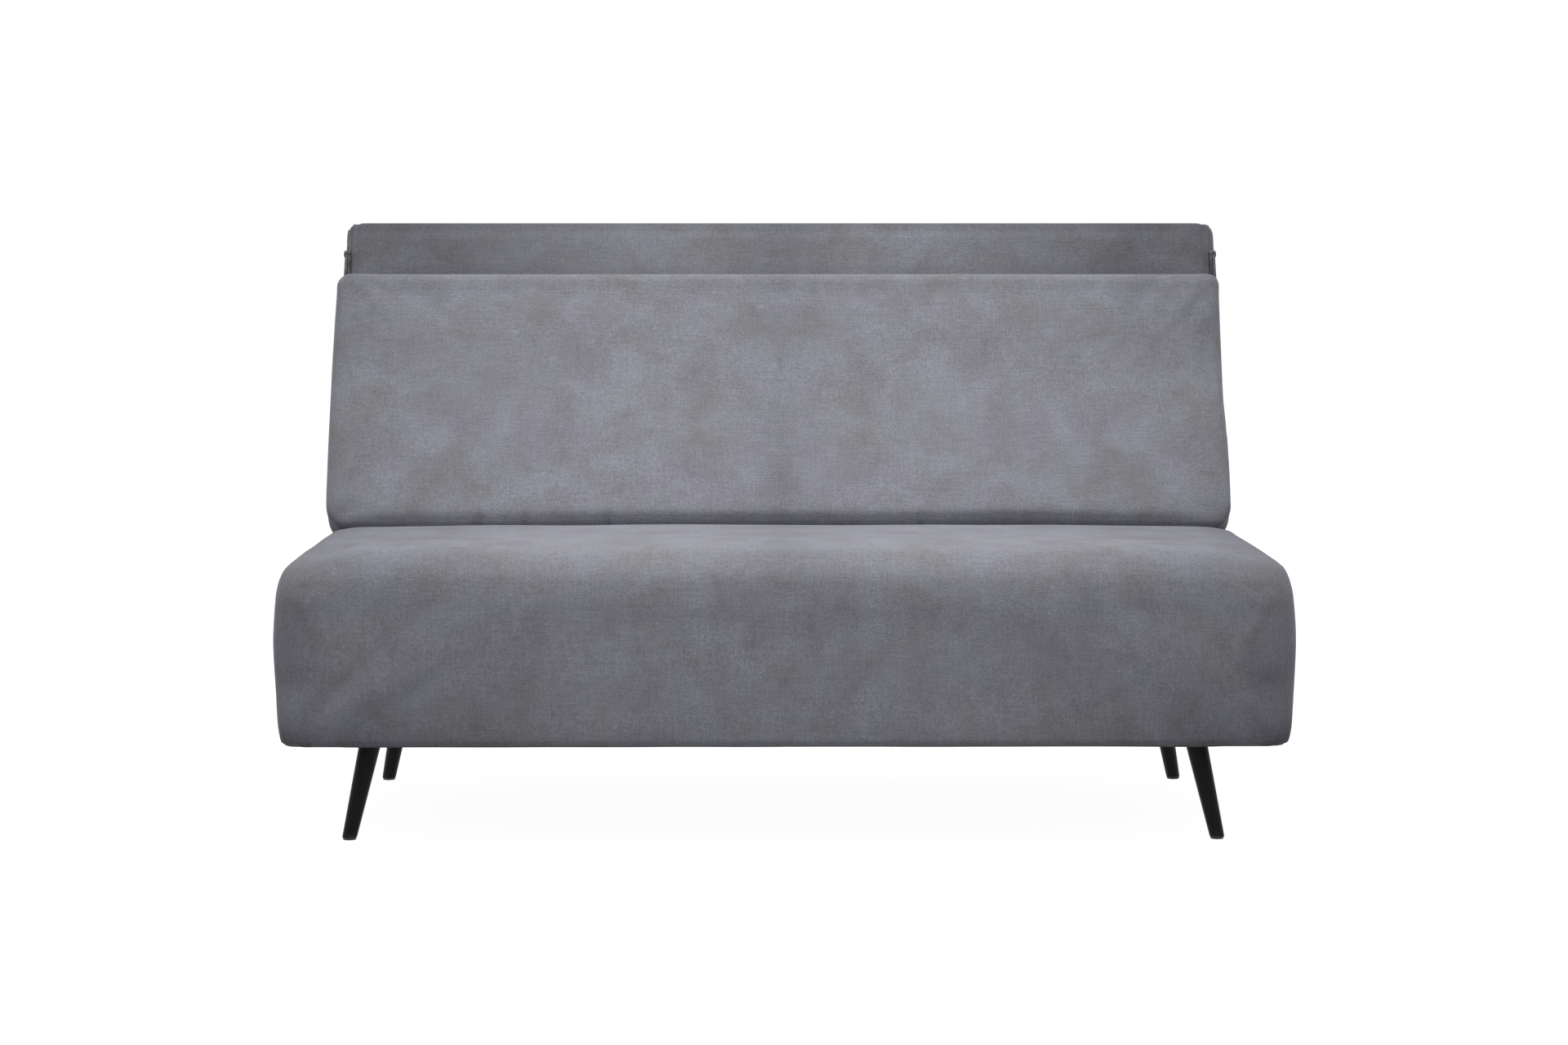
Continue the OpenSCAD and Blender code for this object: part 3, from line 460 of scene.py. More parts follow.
def make_wear():
    """Light scuffs and settled dust: a mask that is strong on edges and faces that look up."""
    group, given, result = new_group(
        "Wear and dust",
        [("Place", "NodeSocketVector", None), ("Scale", "NodeSocketFloat", 60.0)],
        [("Scuffs", "NodeSocketFloat"), ("Dust", "NodeSocketFloat")])
    shape = group.nodes.new("ShaderNodeNewGeometry")
    patches = cloud(group, given["Place"], given["Scale"], 4.0, 0.6)
    edge = remap(group, shape.outputs["Pointiness"], 0.52, 0.6)
    scuffs = calc(group, "MULTIPLY", edge, remap(group, patches, 0.4, 0.6))
    group.links.new(scuffs, result["Scuffs"])
    parts = group.nodes.new("ShaderNodeSeparateXYZ")
    group.links.new(shape.outputs["Normal"], parts.inputs[0])
    dust = calc(group, "MULTIPLY", remap(group, parts.outputs[2], 0.3, 1.0),
                remap(group, patches, 0.35, 0.65, 0.3, 1.0))
    group.links.new(dust, result["Dust"])
    return group


grain_group, wear_group = make_grain(), make_wear()
print("groups:", grain_group.name, "and", wear_group.name)

# %% [markdown]
# ## Cloth of the covers
#
# The cover is a bluish grey polyester suede. It scatters light evenly and gains a soft bright rim
# where it is seen along the pile, which Sheen gives. The three sections share one recipe. Only
# their tone, the corner where the streaks start and the zones of painted shade differ. These zones
# are darker patches painted into the colour where the real cover gets less light.

# %% A material with its group nodes


def new_material(name):
    """A material with a Principled shader, and handles to work on it."""
    material = bpy.data.materials.new(name)
    material.use_nodes = True
    tree = material.node_tree
    shader = tree.nodes["Principled BSDF"]
    place = tree.nodes.new("ShaderNodeTexCoord").outputs["Object"]
    return material, tree, shader, place


def use_group(tree, group, **values):
    """Places a group in a material. Keyword names are socket names with _ for spaces."""
    node = tree.nodes.new("ShaderNodeGroup")
    node.node_tree = group
    for label, value in values.items():
        plug(tree, value, node.inputs[label.replace("_", " ")])
    return node.outputs


def add_bump(tree, shader, height, distance, strength):
    """Feeds a height to the shader's normal."""
    bump = tree.nodes.new("ShaderNodeBump")
    bump.inputs["Strength"].default_value = strength
    bump.inputs["Distance"].default_value = distance
    tree.links.new(height, bump.inputs["Height"])
    tree.links.new(bump.outputs[0], shader.inputs["Normal"])


print("material helpers ready")

# %% The suede cloth
CLOTH_COOL = (0.203, 0.206, 0.238, 1)
CLOTH_WARM = (0.212, 0.212, 0.216, 1)
CLOTH_PURPLE = (0.218, 0.209, 0.243, 1)
SPECKS = 370.0
WEAVE_SWING, COARSE_SWING, SPECK_SWING, NAP_SWING, FOLD_SHADE_SWING = 0.18, 0.12, 0.16, 0.12, 0.13


def make_cloth(name, up_axis, corner, tone_and_shade, offset, seams, painted_shade):
    """The cover's suede. up_axis runs up the visible face; seams are heights of the sewn seams.
    Each zone is a soft darker patch painted into the colour: mostly painted shade where less light
    falls on the ends, edges and top, and one a darker band down the middle. Its start and end
    along up_axis, its start and end across from the middle, and how much it darkens."""
    material, tree, shader, place = new_material(name)
    parts = tree.nodes.new("ShaderNodeSeparateXYZ")
    tree.links.new(place, parts.inputs[0])
    weave = use_group(tree, weave_group, Place=place)
    coarse = use_group(tree, weave_group, Place=place, Thread=0.0038, Slub=0.05)
    nap = use_group(tree, clouds_group, Place=place, Size=0.085, Offset=offset)
    streaks = use_group(tree, fold_shade_group, Across=parts.outputs[0], Up=parts.outputs[up_axis],
                        Corner_across=corner[0], Corner_up=corner[1], Reach=corner[2])
    ground = blend_colours(tree, nap["Hue"], CLOTH_WARM, CLOTH_PURPLE)
    ground = blend_colours(tree, nap["Light"], ground, CLOTH_COOL)
    specks = cloud(tree, place, SPECKS, 1.0)
    shade = remap(tree, weave["Shade"], 0.3, 0.7, 1 - WEAVE_SWING, 1 + WEAVE_SWING)
    # The corner mask lays painted light and shade of the slanting folds into the colour, with the pile's own
    # streaks.
    for mask, low, high, swing in (
            (coarse["Shade"], 0.3, 0.7, COARSE_SWING), (specks, 0.3, 0.7, SPECK_SWING),
            (nap["Light"], 0.0, 1.0, NAP_SWING), (streaks["Mask"], 0.3, 0.7, FOLD_SHADE_SWING)):
        shade = calc(tree, "MULTIPLY", shade, remap(tree, mask, low, high, 1 - swing, 1 + swing))
    to_seams = [calc(tree, "ABSOLUTE", calc(tree, "SUBTRACT", parts.outputs[2], at))
                for at in seams]
    far = calc(tree, "MINIMUM", *to_seams)
    seam = use_group(tree, seam_group, Distance=far,
                     Along=calc(tree, "ADD", parts.outputs[0], parts.outputs[1]))
    # The seam's groove is darkened as painted shade, the stitches beside it as their own darker thread.
    shade = calc(tree, "MULTIPLY", shade, remap(tree, seam["Groove"], 0.0, 1.0, 1.0, 0.62))
    # This factor darkens the whole cloth: its own tone, and on the rear cover partly painted shade.
    shade = calc(tree, "MULTIPLY", shade, tone_and_shade)
    across = calc(tree, "ABSOLUTE", parts.outputs[0])
    # Darker zones of painted shade where the real cover gets less light, and one darker band down the middle.
    for up_start, up_end, across_start, across_end, depth in painted_shade:
        shaded_zone = calc(tree, "MULTIPLY", remap(tree, parts.outputs[up_axis], up_start, up_end),
                    remap(tree, across, across_start, across_end))
        shade = calc(tree, "MULTIPLY", shade, calc(tree, "MULTIPLY_ADD", shaded_zone, -depth, 1.0))
    colour = point_math(tree, "SCALE", ground)
    tree.links.new(shade, colour.node.inputs["Scale"])
    tree.links.new(colour, shader.inputs["Base Color"])
    tree.links.new(remap(tree, weave["Shade"], 0.3, 0.7, 0.98, 0.84), shader.inputs["Roughness"])
    shader.inputs["Specular IOR Level"].default_value = 0.25
    shader.inputs["Sheen Weight"].default_value = 0.2
    shader.inputs["Sheen Roughness"].default_value = 0.45
    shader.inputs["Sheen Tint"].default_value = (0.85, 0.86, 0.95, 1)
    add_bump(tree, shader, calc(tree, "ADD", weave["Height"], seam["Height"]), 0.0006, 0.6)
    return material


HEM = seat_low.z + 1.5 * MM
PANEL_SEAMS = (-26 * MM, 6 * MM - PANEL_T)
EVERY = (-2, -1.9)
# Rows of painted shade are (start, end) up the face, (start, end) across it and the depth: darker
# zones painted where less light falls on the real cover, and one darker band down the middle. EVERY
# lies below every place, so it stands for all of that way.
SEAT_PAINTED_SHADE = [
    (0.378, 0.408, *EVERY, 0.17), (0.350, 0.405, 0.38, 0.70, 0.22), (*EVERY, 0.690, 0.768, 0.28),
    (*EVERY, 0.12, 0.72, 0.06), (0.310, 0.170, 0.33, 0.64, 0.36), (0.365, 0.405, 0.13, 0.0, 0.14)]
FRONT_PAINTED_SHADE = [
    (0.446, 0.459, *EVERY, 0.18), (*EVERY, 0.30, 0.74, 0.15), (*EVERY, 0.715, 0.765, 0.10),
    (0.24, 0.43, *EVERY, 0.12), (0.28, 0.44, 0.50, 0.74, 0.12), (*EVERY, 0.09, 0.0, 0.09)]
REAR_PAINTED_SHADE = [
    (0.024, 0.002, *EVERY, 0.34), (*EVERY, 0.26, 0.62, 0.38), (*EVERY, 0.11, 0.0, 0.16)]
seat_cloth = make_cloth("Seat cloth", up_axis=2, corner=(0.76, 0.15, 0.5), tone_and_shade=0.945,
                        offset=0.0, seams=(HEM, HEM - 1), painted_shade=SEAT_PAINTED_SHADE)
front_cloth = make_cloth("Front back cloth", up_axis=1, corner=(0.76, 0.47, 0.4), tone_and_shade=0.97,
                         offset=0.4, seams=PANEL_SEAMS, painted_shade=FRONT_PAINTED_SHADE)
# The rear cover's low value is partly its reverse side's own pile and partly painted shade.
rear_cloth = make_cloth("Rear back cloth", up_axis=1, corner=(0.76, -0.01, 0.4), tone_and_shade=0.74,
                        offset=1.3, seams=PANEL_SEAMS, painted_shade=REAR_PAINTED_SHADE)
print("cloths:", seat_cloth.name, front_cloth.name, rear_cloth.name)

# %% [markdown]
# ## Finishes of the frame
#
# The legs are turned wood under black satin lacquer. Rails and boards are raw softwood, the slats
# are bent laminated wood in plastic pockets, the folding irons are powder coated and the screws and
# pins are zinc plated. Each gets grain, speckle, scuffs or dust from the shared groups.

# %% Lacquer, wood, steel and plastic


def make_lacquer():
    """Black satin lacquer with the turned wood's grain just showing through."""
    material, tree, shader, place = new_material("Leg lacquer")
    grain = use_group(tree, grain_group, Place=place, Stretch=(160, 160, 9))
    wear = use_group(tree, wear_group, Place=place, Scale=45.0)
    colour = blend_colours(tree, grain["Grain"], (0.004, 0.004, 0.0045, 1),
                           (0.008, 0.0075, 0.007, 1))
    colour = tinted(tree, wear["Scuffs"], 0.5, colour, (0.07, 0.06, 0.05, 1))
    colour = tinted(tree, wear["Dust"], 0.12, colour, (0.2, 0.2, 0.2, 1))
    tree.links.new(colour, shader.inputs["Base Color"])
    tree.links.new(remap(tree, grain["Pores"], 0.0, 1.0, 0.36, 0.46), shader.inputs["Roughness"])
    shader.inputs["Specular IOR Level"].default_value = 0.11
    add_bump(tree, shader, grain["Pores"], 0.0001, 0.4)
    return material


def make_wood(name, pale, dark, stretch, rough):
    """Raw or bent laminated wood."""
    material, tree, shader, place = new_material(name)
    grain = use_group(tree, grain_group, Place=place, Stretch=stretch)
    wear = use_group(tree, wear_group, Place=place, Scale=30.0)
    colour = blend_colours(tree, grain["Grain"], dark, pale)
    colour = tinted(tree, grain["Pores"], 0.2, colour, dark)
    colour = tinted(tree, wear["Dust"], 0.2, colour, (0.5, 0.48, 0.45, 1))
    tree.links.new(colour, shader.inputs["Base Color"])
    tree.links.new(remap(tree, grain["Grain"], 0.0, 1.0, rough + 0.08, rough - 0.08),
                   shader.inputs["Roughness"])
    add_bump(tree, shader, grain["Pores"], 0.0003, 0.5)
    return material


def make_powder_coat():
    """Dark powder coat: fine orange peel, with bare steel starting to show at worn edges."""
    material, tree, shader, place = new_material("Powder coat")
    peel = cloud(tree, place, 900.0, 2.0, 0.5)
    wear = use_group(tree, wear_group, Place=place, Scale=80.0)
    colour = tinted(tree, wear["Scuffs"], 0.25, (0.034, 0.036, 0.037, 1), (0.16, 0.16, 0.165, 1))
    tree.links.new(tinted(tree, wear["Dust"], 0.15, colour, (0.3, 0.3, 0.3, 1)),
                   shader.inputs["Base Color"])
    tree.links.new(remap(tree, peel, 0.3, 0.7, 0.48, 0.64), shader.inputs["Roughness"])
    shader.inputs["Specular IOR Level"].default_value = 0.2
    add_bump(tree, shader, peel, 0.0002, 0.5)
    return material


def make_zinc(name, blue, yellow, rough):
    """Zinc plated steel with a cloudy passivation between two tints."""
    material, tree, shader, place = new_material(name)
    tint = cloud(tree, place, 70.0, 3.0, 0.5)
    streak = cloud(tree, point_math(tree, "MULTIPLY", place, (900.0, 900.0, 60.0)), 1.0, 1.0)
    tree.links.new(blend_colours(tree, tint, blue, yellow), shader.inputs["Base Color"])
    shader.inputs["Metallic"].default_value = 1
    tree.links.new(remap(tree, streak, 0.3, 0.7, rough, rough + 0.16), shader.inputs["Roughness"])
    add_bump(tree, shader, streak, 0.0001, 0.3)
    return material


def make_plastic(name, colour, scale):
    """Moulded plastic with a fine spark-eroded texture."""
    material, tree, shader, place = new_material(name)
    texture = cloud(tree, place, scale, 2.0, 0.6)
    wear = use_group(tree, wear_group, Place=place, Scale=90.0)
    lighter = tuple(c * 1.5 for c in colour[:3]) + (1,)
    mixed = blend_colours(tree, texture, colour, lighter)
    tree.links.new(tinted(tree, wear["Dust"], 0.2, mixed, (0.35, 0.34, 0.32, 1)),
                   shader.inputs["Base Color"])
    tree.links.new(remap(tree, texture, 0.3, 0.7, 0.5, 0.66), shader.inputs["Roughness"])
    add_bump(tree, shader, texture, 0.0002, 0.5)
    return material


finishes = {
    "leg_paint": make_lacquer(),
    "board_wood": make_wood("Board wood", (0.60, 0.43, 0.26, 1), (0.42, 0.27, 0.14, 1),
                            (3.0, 45.0, 45.0), 0.72),
    "slat_wood": make_wood("Slat wood", (0.72, 0.57, 0.37, 1), (0.55, 0.40, 0.23, 1),
                           (4.0, 90.0, 260.0), 0.5),
    "hinge_steel": make_powder_coat(),
    "zinc_steel": make_zinc("Zinc plate", (0.50, 0.53, 0.60, 1), (0.62, 0.60, 0.50, 1), 0.26),
    "holder_plastic": make_plastic("Holder plastic", (0.035, 0.035, 0.038, 1), 700.0),
    "glide_plastic": make_plastic("Glide plastic", (0.022, 0.022, 0.022, 1), 500.0),
}
print("finishes:", sorted(finishes))

# %% [markdown]
# ## Dust cloth
#
# Under each section a black non-woven cloth is stapled to the rails. It is pressed from short
# fibres with a grid of small weld points.

# %% Non-woven dust cloth


def make_dust_cloth():
    """Black non-woven cloth with its grid of weld points."""
    material, tree, shader, place = new_material("Dust cloth")
    fibres = cloud(tree, point_math(tree, "MULTIPLY", place, (700.0, 420.0, 420.0)), 1.0, 3.0, 0.6)
    welds = tree.nodes.new("ShaderNodeTexVoronoi")
    tree.links.new(place, welds.inputs["Vector"])
    welds.inputs["Scale"].default_value = 420
    welds.inputs["Randomness"].default_value = 0.85
    dots = remap(tree, welds.outputs["Distance"], 0.25, 0.45)
    wear = use_group(tree, wear_group, Place=place, Scale=14.0)
    colour = blend_colours(tree, fibres, (0.012, 0.012, 0.013, 1), (0.035, 0.035, 0.037, 1))
    colour = tinted(tree, wear["Dust"], 0.1, colour, (0.3, 0.3, 0.3, 1))
    tree.links.new(colour, shader.inputs["Base Color"])
    tree.links.new(remap(tree, dots, 0.0, 1.0, 0.62, 0.95), shader.inputs["Roughness"])
    add_bump(tree, shader, calc(tree, "MULTIPLY", dots, fibres), 0.0003, 0.7)
    return material


finishes["dust_cloth"] = make_dust_cloth()
slot_of = {part["node"]: part["material_slot"] for part in frame["record"]["subparts"]}
for node_name, node_object in frame["nodes"].items():
    if slot_of[node_name] in finishes:
        node_object.data.materials.clear()
        node_object.data.materials.append(finishes[slot_of[node_name]])
black_zinc = make_zinc("Black zinc plate", (0.045, 0.047, 0.052, 1), (0.075, 0.072, 0.065, 1),
                       0.4)
for node_name in ("fold_pins", "fold_arm_bolts", "fold_leaf_bolts", "recline_pins",
                  "recline_arm_bolts", "support_leg_pins"):
    frame["nodes"][node_name].data.materials[0] = black_zinc
print("nodes with a finish:", sum(s in finishes for s in slot_of.values()))

# %% [markdown]
# ## How a cover is made
#
# A real cover is sewn a little larger than its foam and pulled over it, so its faces crown, its
# edges round off and it creases at the corners. Here a cover starts as a closed form, a stack of
# rounded outlines a little smaller than the finished piece. A voxel remesh gives it an even skin,
# and a short cloth simulation with air pressure puffs it out, while the parts stapled to the frame
# are held. A cap on the movement keeps it in its place. Creases are pressed in after that, and
# the spaces for the frame and the hinges are cut last.

# %% Outlines and stacked forms


def even_steps(start, end, count):
    """Points between two points, without the ends."""
    share = np.linspace(0, 1, count + 2)[1:-1, None]
    return np.asarray(start) + (np.asarray(end) - np.asarray(start)) * share


def corner_arc(cx, cy, radius, start, count=9):
    """A quarter circle of points."""
    angles = np.radians(start + 90 * np.linspace(0, 1, count))
    return np.stack([cx + radius * np.cos(angles), cy + radius * np.sin(angles)], 1)


def outline(half, y_low, y_high, radius_low, radius_high, z):
    """A rounded rectangle round X = 0, with its own corner radius at each end."""
    xl, xh = half - radius_low, half - radius_high
    yl, yh = y_low + radius_low, y_high - radius_high
    points = np.concatenate([
        corner_arc(xh, yh, radius_high, 0), even_steps((xh, y_high), (-xh, y_high), 60),
        corner_arc(-xh, yh, radius_high, 90), even_steps((-half, yh), (-half, yl), 24),
        corner_arc(-xl, yl, radius_low, 180), even_steps((-xl, y_low), (xl, y_low), 60),
        corner_arc(xl, yl, radius_low, 270), even_steps((half, yl), (half, yh), 24)])
    return np.column_stack([points, np.full(len(points), z)])


def smooth_line(rows, steps=6):
    """A smooth curve through a table's rows, as a finer table."""
    p = np.array(rows, float)
    p = np.vstack([2 * p[0] - p[1], p, 2 * p[-1] - p[-2]])
    t = np.linspace(0, 1, steps, endpoint=False)[:, None]
    parts = [b + 0.5 * t * (c - a + t * (2 * a - 5 * b + 4 * c - d + t * (3 * (b - c) + d - a)))
             for a, b, c, d in zip(p, p[1:], p[2:], p[3:])]
    line = np.vstack([*parts, p[-2:-1]])
    line[:, 0] = np.maximum.accumulate(line[:, 0])
    return line


def read_off(line, at):
    """The value of a fine table at one place or at many."""
    return np.interp(at, line[:, 0], line[:, 1])


def mesh_object(name, vertices, faces):
    """A mesh object in the scene."""
    mesh = bpy.data.meshes.new(name)
    mesh.from_pydata([tuple(map(float, v)) for v in vertices], [],
                     [list(map(int, f)) for f in faces])
    mesh.update()
    piece = bpy.data.objects.new(name, mesh)
    bpy.context.scene.collection.objects.link(piece)
    return piece


def stacked_form(name, rings):
    """A closed form through outlines, lowest first, with a fan of faces at each end."""
    count = len(rings[0])
    points = np.concatenate(rings + [rings[0].mean(0)[None], rings[-1].mean(0)[None]])
    step = np.arange(count)
    ahead = (step + 1) % count
    faces = []
    for k in range(len(rings) - 1):
        low, high = k * count, (k + 1) * count
        faces += np.stack([low + step, low + ahead, high + ahead, high + step], 1).tolist()
    last = (len(rings) - 1) * count
    faces += np.stack([np.full(count, len(points) - 2), ahead, step], 1).tolist()
    faces += np.stack([np.full(count, len(points) - 1), last + step, last + ahead], 1).tolist()
    return mesh_object(name, points, faces)


print("form helpers ready")

# %% Mesh in and out of numpy


def positions(mesh):
    """Vertex places of a mesh as an array."""
    flat = np.empty(len(mesh.vertices) * 3)
    mesh.vertices.foreach_get("co", flat)
    return flat.reshape(-1, 3)


def normals(mesh):
    """Vertex normals of a mesh as an array."""
    flat = np.empty(len(mesh.vertices) * 3)
    mesh.vertices.foreach_get("normal", flat)
    return flat.reshape(-1, 3)


def move_to(mesh, places):
    """Writes vertex places back."""
    mesh.vertices.foreach_set("co", np.ascontiguousarray(places).ravel())
    mesh.update()


def bake_modifiers(piece):
    """Replaces the mesh by its evaluated one and drops the modifiers."""
    graph = bpy.context.evaluated_depsgraph_get()
    graph.update()
    mesh = bpy.data.meshes.new_from_object(piece.evaluated_get(graph), depsgraph=graph)
    old = piece.data
    piece.modifiers.clear()
    piece.data = mesh
    mesh.name = piece.name
    bpy.data.meshes.remove(old)
    return mesh


def surface_of(piece):
    """The piece's surface as a search tree, to find the nearest point on it."""
    mesh = piece.data
    return BVHTree.FromPolygons([v.co for v in mesh.vertices],
                                [tuple(face.vertices) for face in mesh.polygons])


def drawn_to(surface, places, share):
    """Points moved towards the nearest point of a surface, each by its share of the way."""
    new = places.copy()
    for i in np.where(share > 0.01)[0]:
        near = surface.find_nearest(Vector(places[i]))[0]
        new[i] += (np.array(near) - places[i]) * share[i]
    return new


def remesh(piece, size):
    """An even skin of quads that keeps the form's outline."""
    surface = surface_of(piece)
    modifier = piece.modifiers.new("Skin", "REMESH")
    modifier.mode = "VOXEL"
    modifier.voxel_size = size
    mesh = bake_modifiers(piece)
    places = positions(mesh)
    move_to(mesh, drawn_to(surface, places, np.ones(len(places))))
    return surface


def refine(piece, surface, held_at):
    """One subdivision. Where the cover is held it lies on its base form again."""
    piece.modifiers.new("Finer", "SUBSURF").levels = 1
    mesh = bake_modifiers(piece)
    places = positions(mesh)
    share = held_at(places)
    move_to(mesh, drawn_to(surface, places, share))
    print(piece.name, "points after subdivision:", len(places))


def ease(values, start, end):
    """0 before start, 1 after end, smooth between."""
    t = np.clip((values - start) / (end - start), 0, 1)
    return t * t * (3 - 2 * t)


print("mesh helpers ready")

# %% The cloth simulation
SIM_FRAMES = 20


def puff(piece, held, pressure, cap):
    """Inflates the cover with Cloth. held is 1 where it is stapled; cap limits each point's move.
    The foam inside keeps it from moving inwards."""
    mesh = piece.data
    rest = positions(mesh)
    group = piece.vertex_groups.new(name="held")
    for level in np.linspace(0.1, 1, 10):
        chosen = np.where(np.abs(held - level) <= 0.05)[0]
        group.add([int(i) for i in chosen], float(level), "REPLACE")
    modifier = piece.modifiers.new("Padding", "CLOTH")
    settings = modifier.settings
    settings.quality = 4
    settings.mass = 0.35
    settings.tension_stiffness = settings.compression_stiffness = 22
    settings.shear_stiffness = 8
    settings.bending_stiffness = 1.2
    settings.use_pressure = True
    settings.uniform_pressure_force = pressure
    settings.effector_weights.gravity = 0
    settings.vertex_group_mass = "held"
    modifier.collision_settings.use_collision = False
    modifier.point_cache.frame_start = 1
    modifier.point_cache.frame_end = SIM_FRAMES
    scene = bpy.context.scene
    for number in range(1, SIM_FRAMES + 1):
        scene.frame_set(number)
    graph = bpy.context.evaluated_depsgraph_get()
    shaped = piece.evaluated_get(graph)
    moved = positions(shaped.to_mesh()) - rest
    shaped.to_mesh_clear()
    piece.modifiers.clear()
    piece.vertex_groups.clear()
    scene.frame_set(1)
    outward = normals(mesh)
    moved -= outward * np.minimum((moved * outward).sum(1), 0)[:, None]
    far = np.linalg.norm(moved, axis=1)
    kept = cap * np.tanh(far / cap)
    move_to(mesh, rest + moved * (kept / np.maximum(far, 1e-9))[:, None])
    print(f"{piece.name}: {len(rest)} points, puffed {kept.mean() / MM:.1f} mm on average,"
          f" {kept.max() / MM:.1f} mm at most")


print("simulation of", SIM_FRAMES, "frames")

# %% Creases, dents and slow waves


def crease(places, facing, axes, start, end, width, depth):
    """Depth of a pressed line between two points, seen along one side of the cover."""
    flat = places[:, axes] - np.asarray(start)
    along = np.asarray(end, float) - np.asarray(start)
    length = np.linalg.norm(along)
    along = along / length
    t = flat @ along
    side = flat @ np.array([-along[1], along[0]])
    fade = ease(t, -0.1 * length, 0.25 * length) * (1 - ease(t, 0.55 * length, 1.1 * length))
    groove = np.exp(-(side / width) ** 2) - 0.55 * np.exp(-((side - 1.9 * width) / width) ** 2)
    return -depth * groove * fade * facing


def slanted(places, facing, axes, corner, reach, folds, depth, seed):
    """Shallow slanting folds that run out of a corner and fade with distance."""
    side, rise = np.abs(corner[0]) - np.abs(places[:, axes[0]]), places[:, axes[1]] - corner[1]
    along = side * math.cos(SLANT) + rise * math.sin(SLANT)
    beside = side * math.sin(SLANT) - rise * math.cos(SLANT)
    near = (1 - ease(np.hypot(rise, side), 0.15 * reach, reach)) * facing
    value = np.zeros(len(places))
    for i in np.where(near > 0.01)[0]:
        mirror = 0.0 if places[i, 0] < 0 else 7.3
        value[i] = noise.noise((beside[i] * folds, along[i] * 3.5, seed + mirror))
    return depth * value * near


def waves(places, size, seed):
    """Slow uneven softness, one value for each point."""
    return np.array([noise.noise((x / size + seed, y / size, z / size)) for x, y, z in places])


JOINT_TUCKS = (-0.516, -0.437, -0.295, 0.236)


def tucks(across):
    """1 at the small tucks along the joint between the seat and the back, else 0."""
    return sum(np.exp(-((across - spot) / (5 * MM)) ** 2) for spot in JOINT_TUCKS)


print("crease helpers ready")

# %% Cutting with boxes and prisms


def prism(name, section, x_low, x_high):
    """A closed prism along X from a drawing of (Y, Z) points."""
    count = len(section)
    points = [(x, y, z) for x in (x_low, x_high) for y, z in section]
    faces = [[i, (i + 1) % count, (i + 1) % count + count, i + count] for i in range(count)]
    faces += [list(range(count))[::-1], list(range(count, 2 * count))]
    piece = mesh_object(name, points, faces)
    bm = bmesh.new()
    bm.from_mesh(piece.data)
    bmesh.ops.recalc_face_normals(bm, faces=bm.faces)
    bm.to_mesh(piece.data)
    bm.free()
    return piece


def box_cutter(x_low, x_high, y_low, y_high, z_low, z_high):
    """A box to cut with."""
    return prism("cutter", [(y_low, z_low), (y_high, z_low), (y_high, z_high), (y_low, z_high)],
                 x_low, x_high)


def cut(piece, cutters):
    """Takes the cutters out of the piece and deletes them."""
    for cutter in cutters:
        modifier = piece.modifiers.new("Cut", "BOOLEAN")
        modifier.operation = "DIFFERENCE"
        modifier.solver = "MANIFOLD"
        modifier.object = cutter
    bake_modifiers(piece)
    for cutter in cutters:
        mesh = cutter.data
        bpy.data.objects.remove(cutter)
        bpy.data.meshes.remove(mesh)


def both_sides(x_low, x_high, *rest):
    """The same box on the right and on the left."""
    return [box_cutter(x_low, x_high, *rest), box_cutter(-x_high, -x_low, *rest)]


def finish_cover(piece, place, body, material, nodes):
    """Smooth shading with crisp cuts, its cloth, its place and what it stands for."""
    mesh = piece.data
    mesh.materials.clear()
    mesh.materials.append(material)
    mesh.shade_smooth()
    mesh.set_sharp_from_angle(angle=math.radians(38))
    piece.matrix_world = place
    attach(piece, body)
    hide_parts(*nodes)
    print(f"{piece.name}: {len(mesh.vertices)} points, {len(mesh.polygons)} faces")


print("cutting helpers ready")

# %% [markdown]
# ## The seat cover
#
# The seat's sides swell at mid height, and the top rolls over softly into the front. The rear edge
# slopes down under the leaning back, round the hinge. The base form repeats those outlines with
# more points than the frame's plain solid, and is slightly smaller, so that the padding can rise.

# %% Profiles of the seat cover
# Rows are (height above the underside, half width) and (height, set back), in millimetres.
SEAT_SIDES = smooth_line([
    (0, 758), (2, 762.5), (8, 766), (27, 769.5), (52, 772.5), (90, 776.5), (115, 778.2),
    (150, 779.4), (172, 779), (196, 777.3), (228, 774), (246, 771.5), (257, 769), (265, 766),
    (270, 760.5), (273, 752)])
SEAT_FRONT = smooth_line([
    (0, 10), (3, 6), (12, 4), (40, 2), (90, 0.6), (130, 0), (180, 0), (212, 0), (220, 0.2),
    (228.5, 1.1), (236.8, 4.5), (244.6, 10), (251.9, 17.5), (258.8, 26.8), (264.9, 37.5),
    (269.6, 49.3), (272, 62), (272.8, 75), (273, 120)])
SEAT_REAR = smooth_line([
    (0, 10), (6, 4), (20, 0), (130, 0), (250, 0), (263, 3), (270, 9), (273, 18)])
SEAT_REAR_CLEAR = 3 * MM
END_REACH = 150 * MM
END_RECESS = 18
LOW_CORNER = 28
MORE_CORNER = 20
REAR_CORNER = 16 * MM
CREST = 27 * MM
RIGHT_LET_OUT = 3.7 * MM
seat_front = seat_low.y
seat_height = seat_high.z - seat_low.z


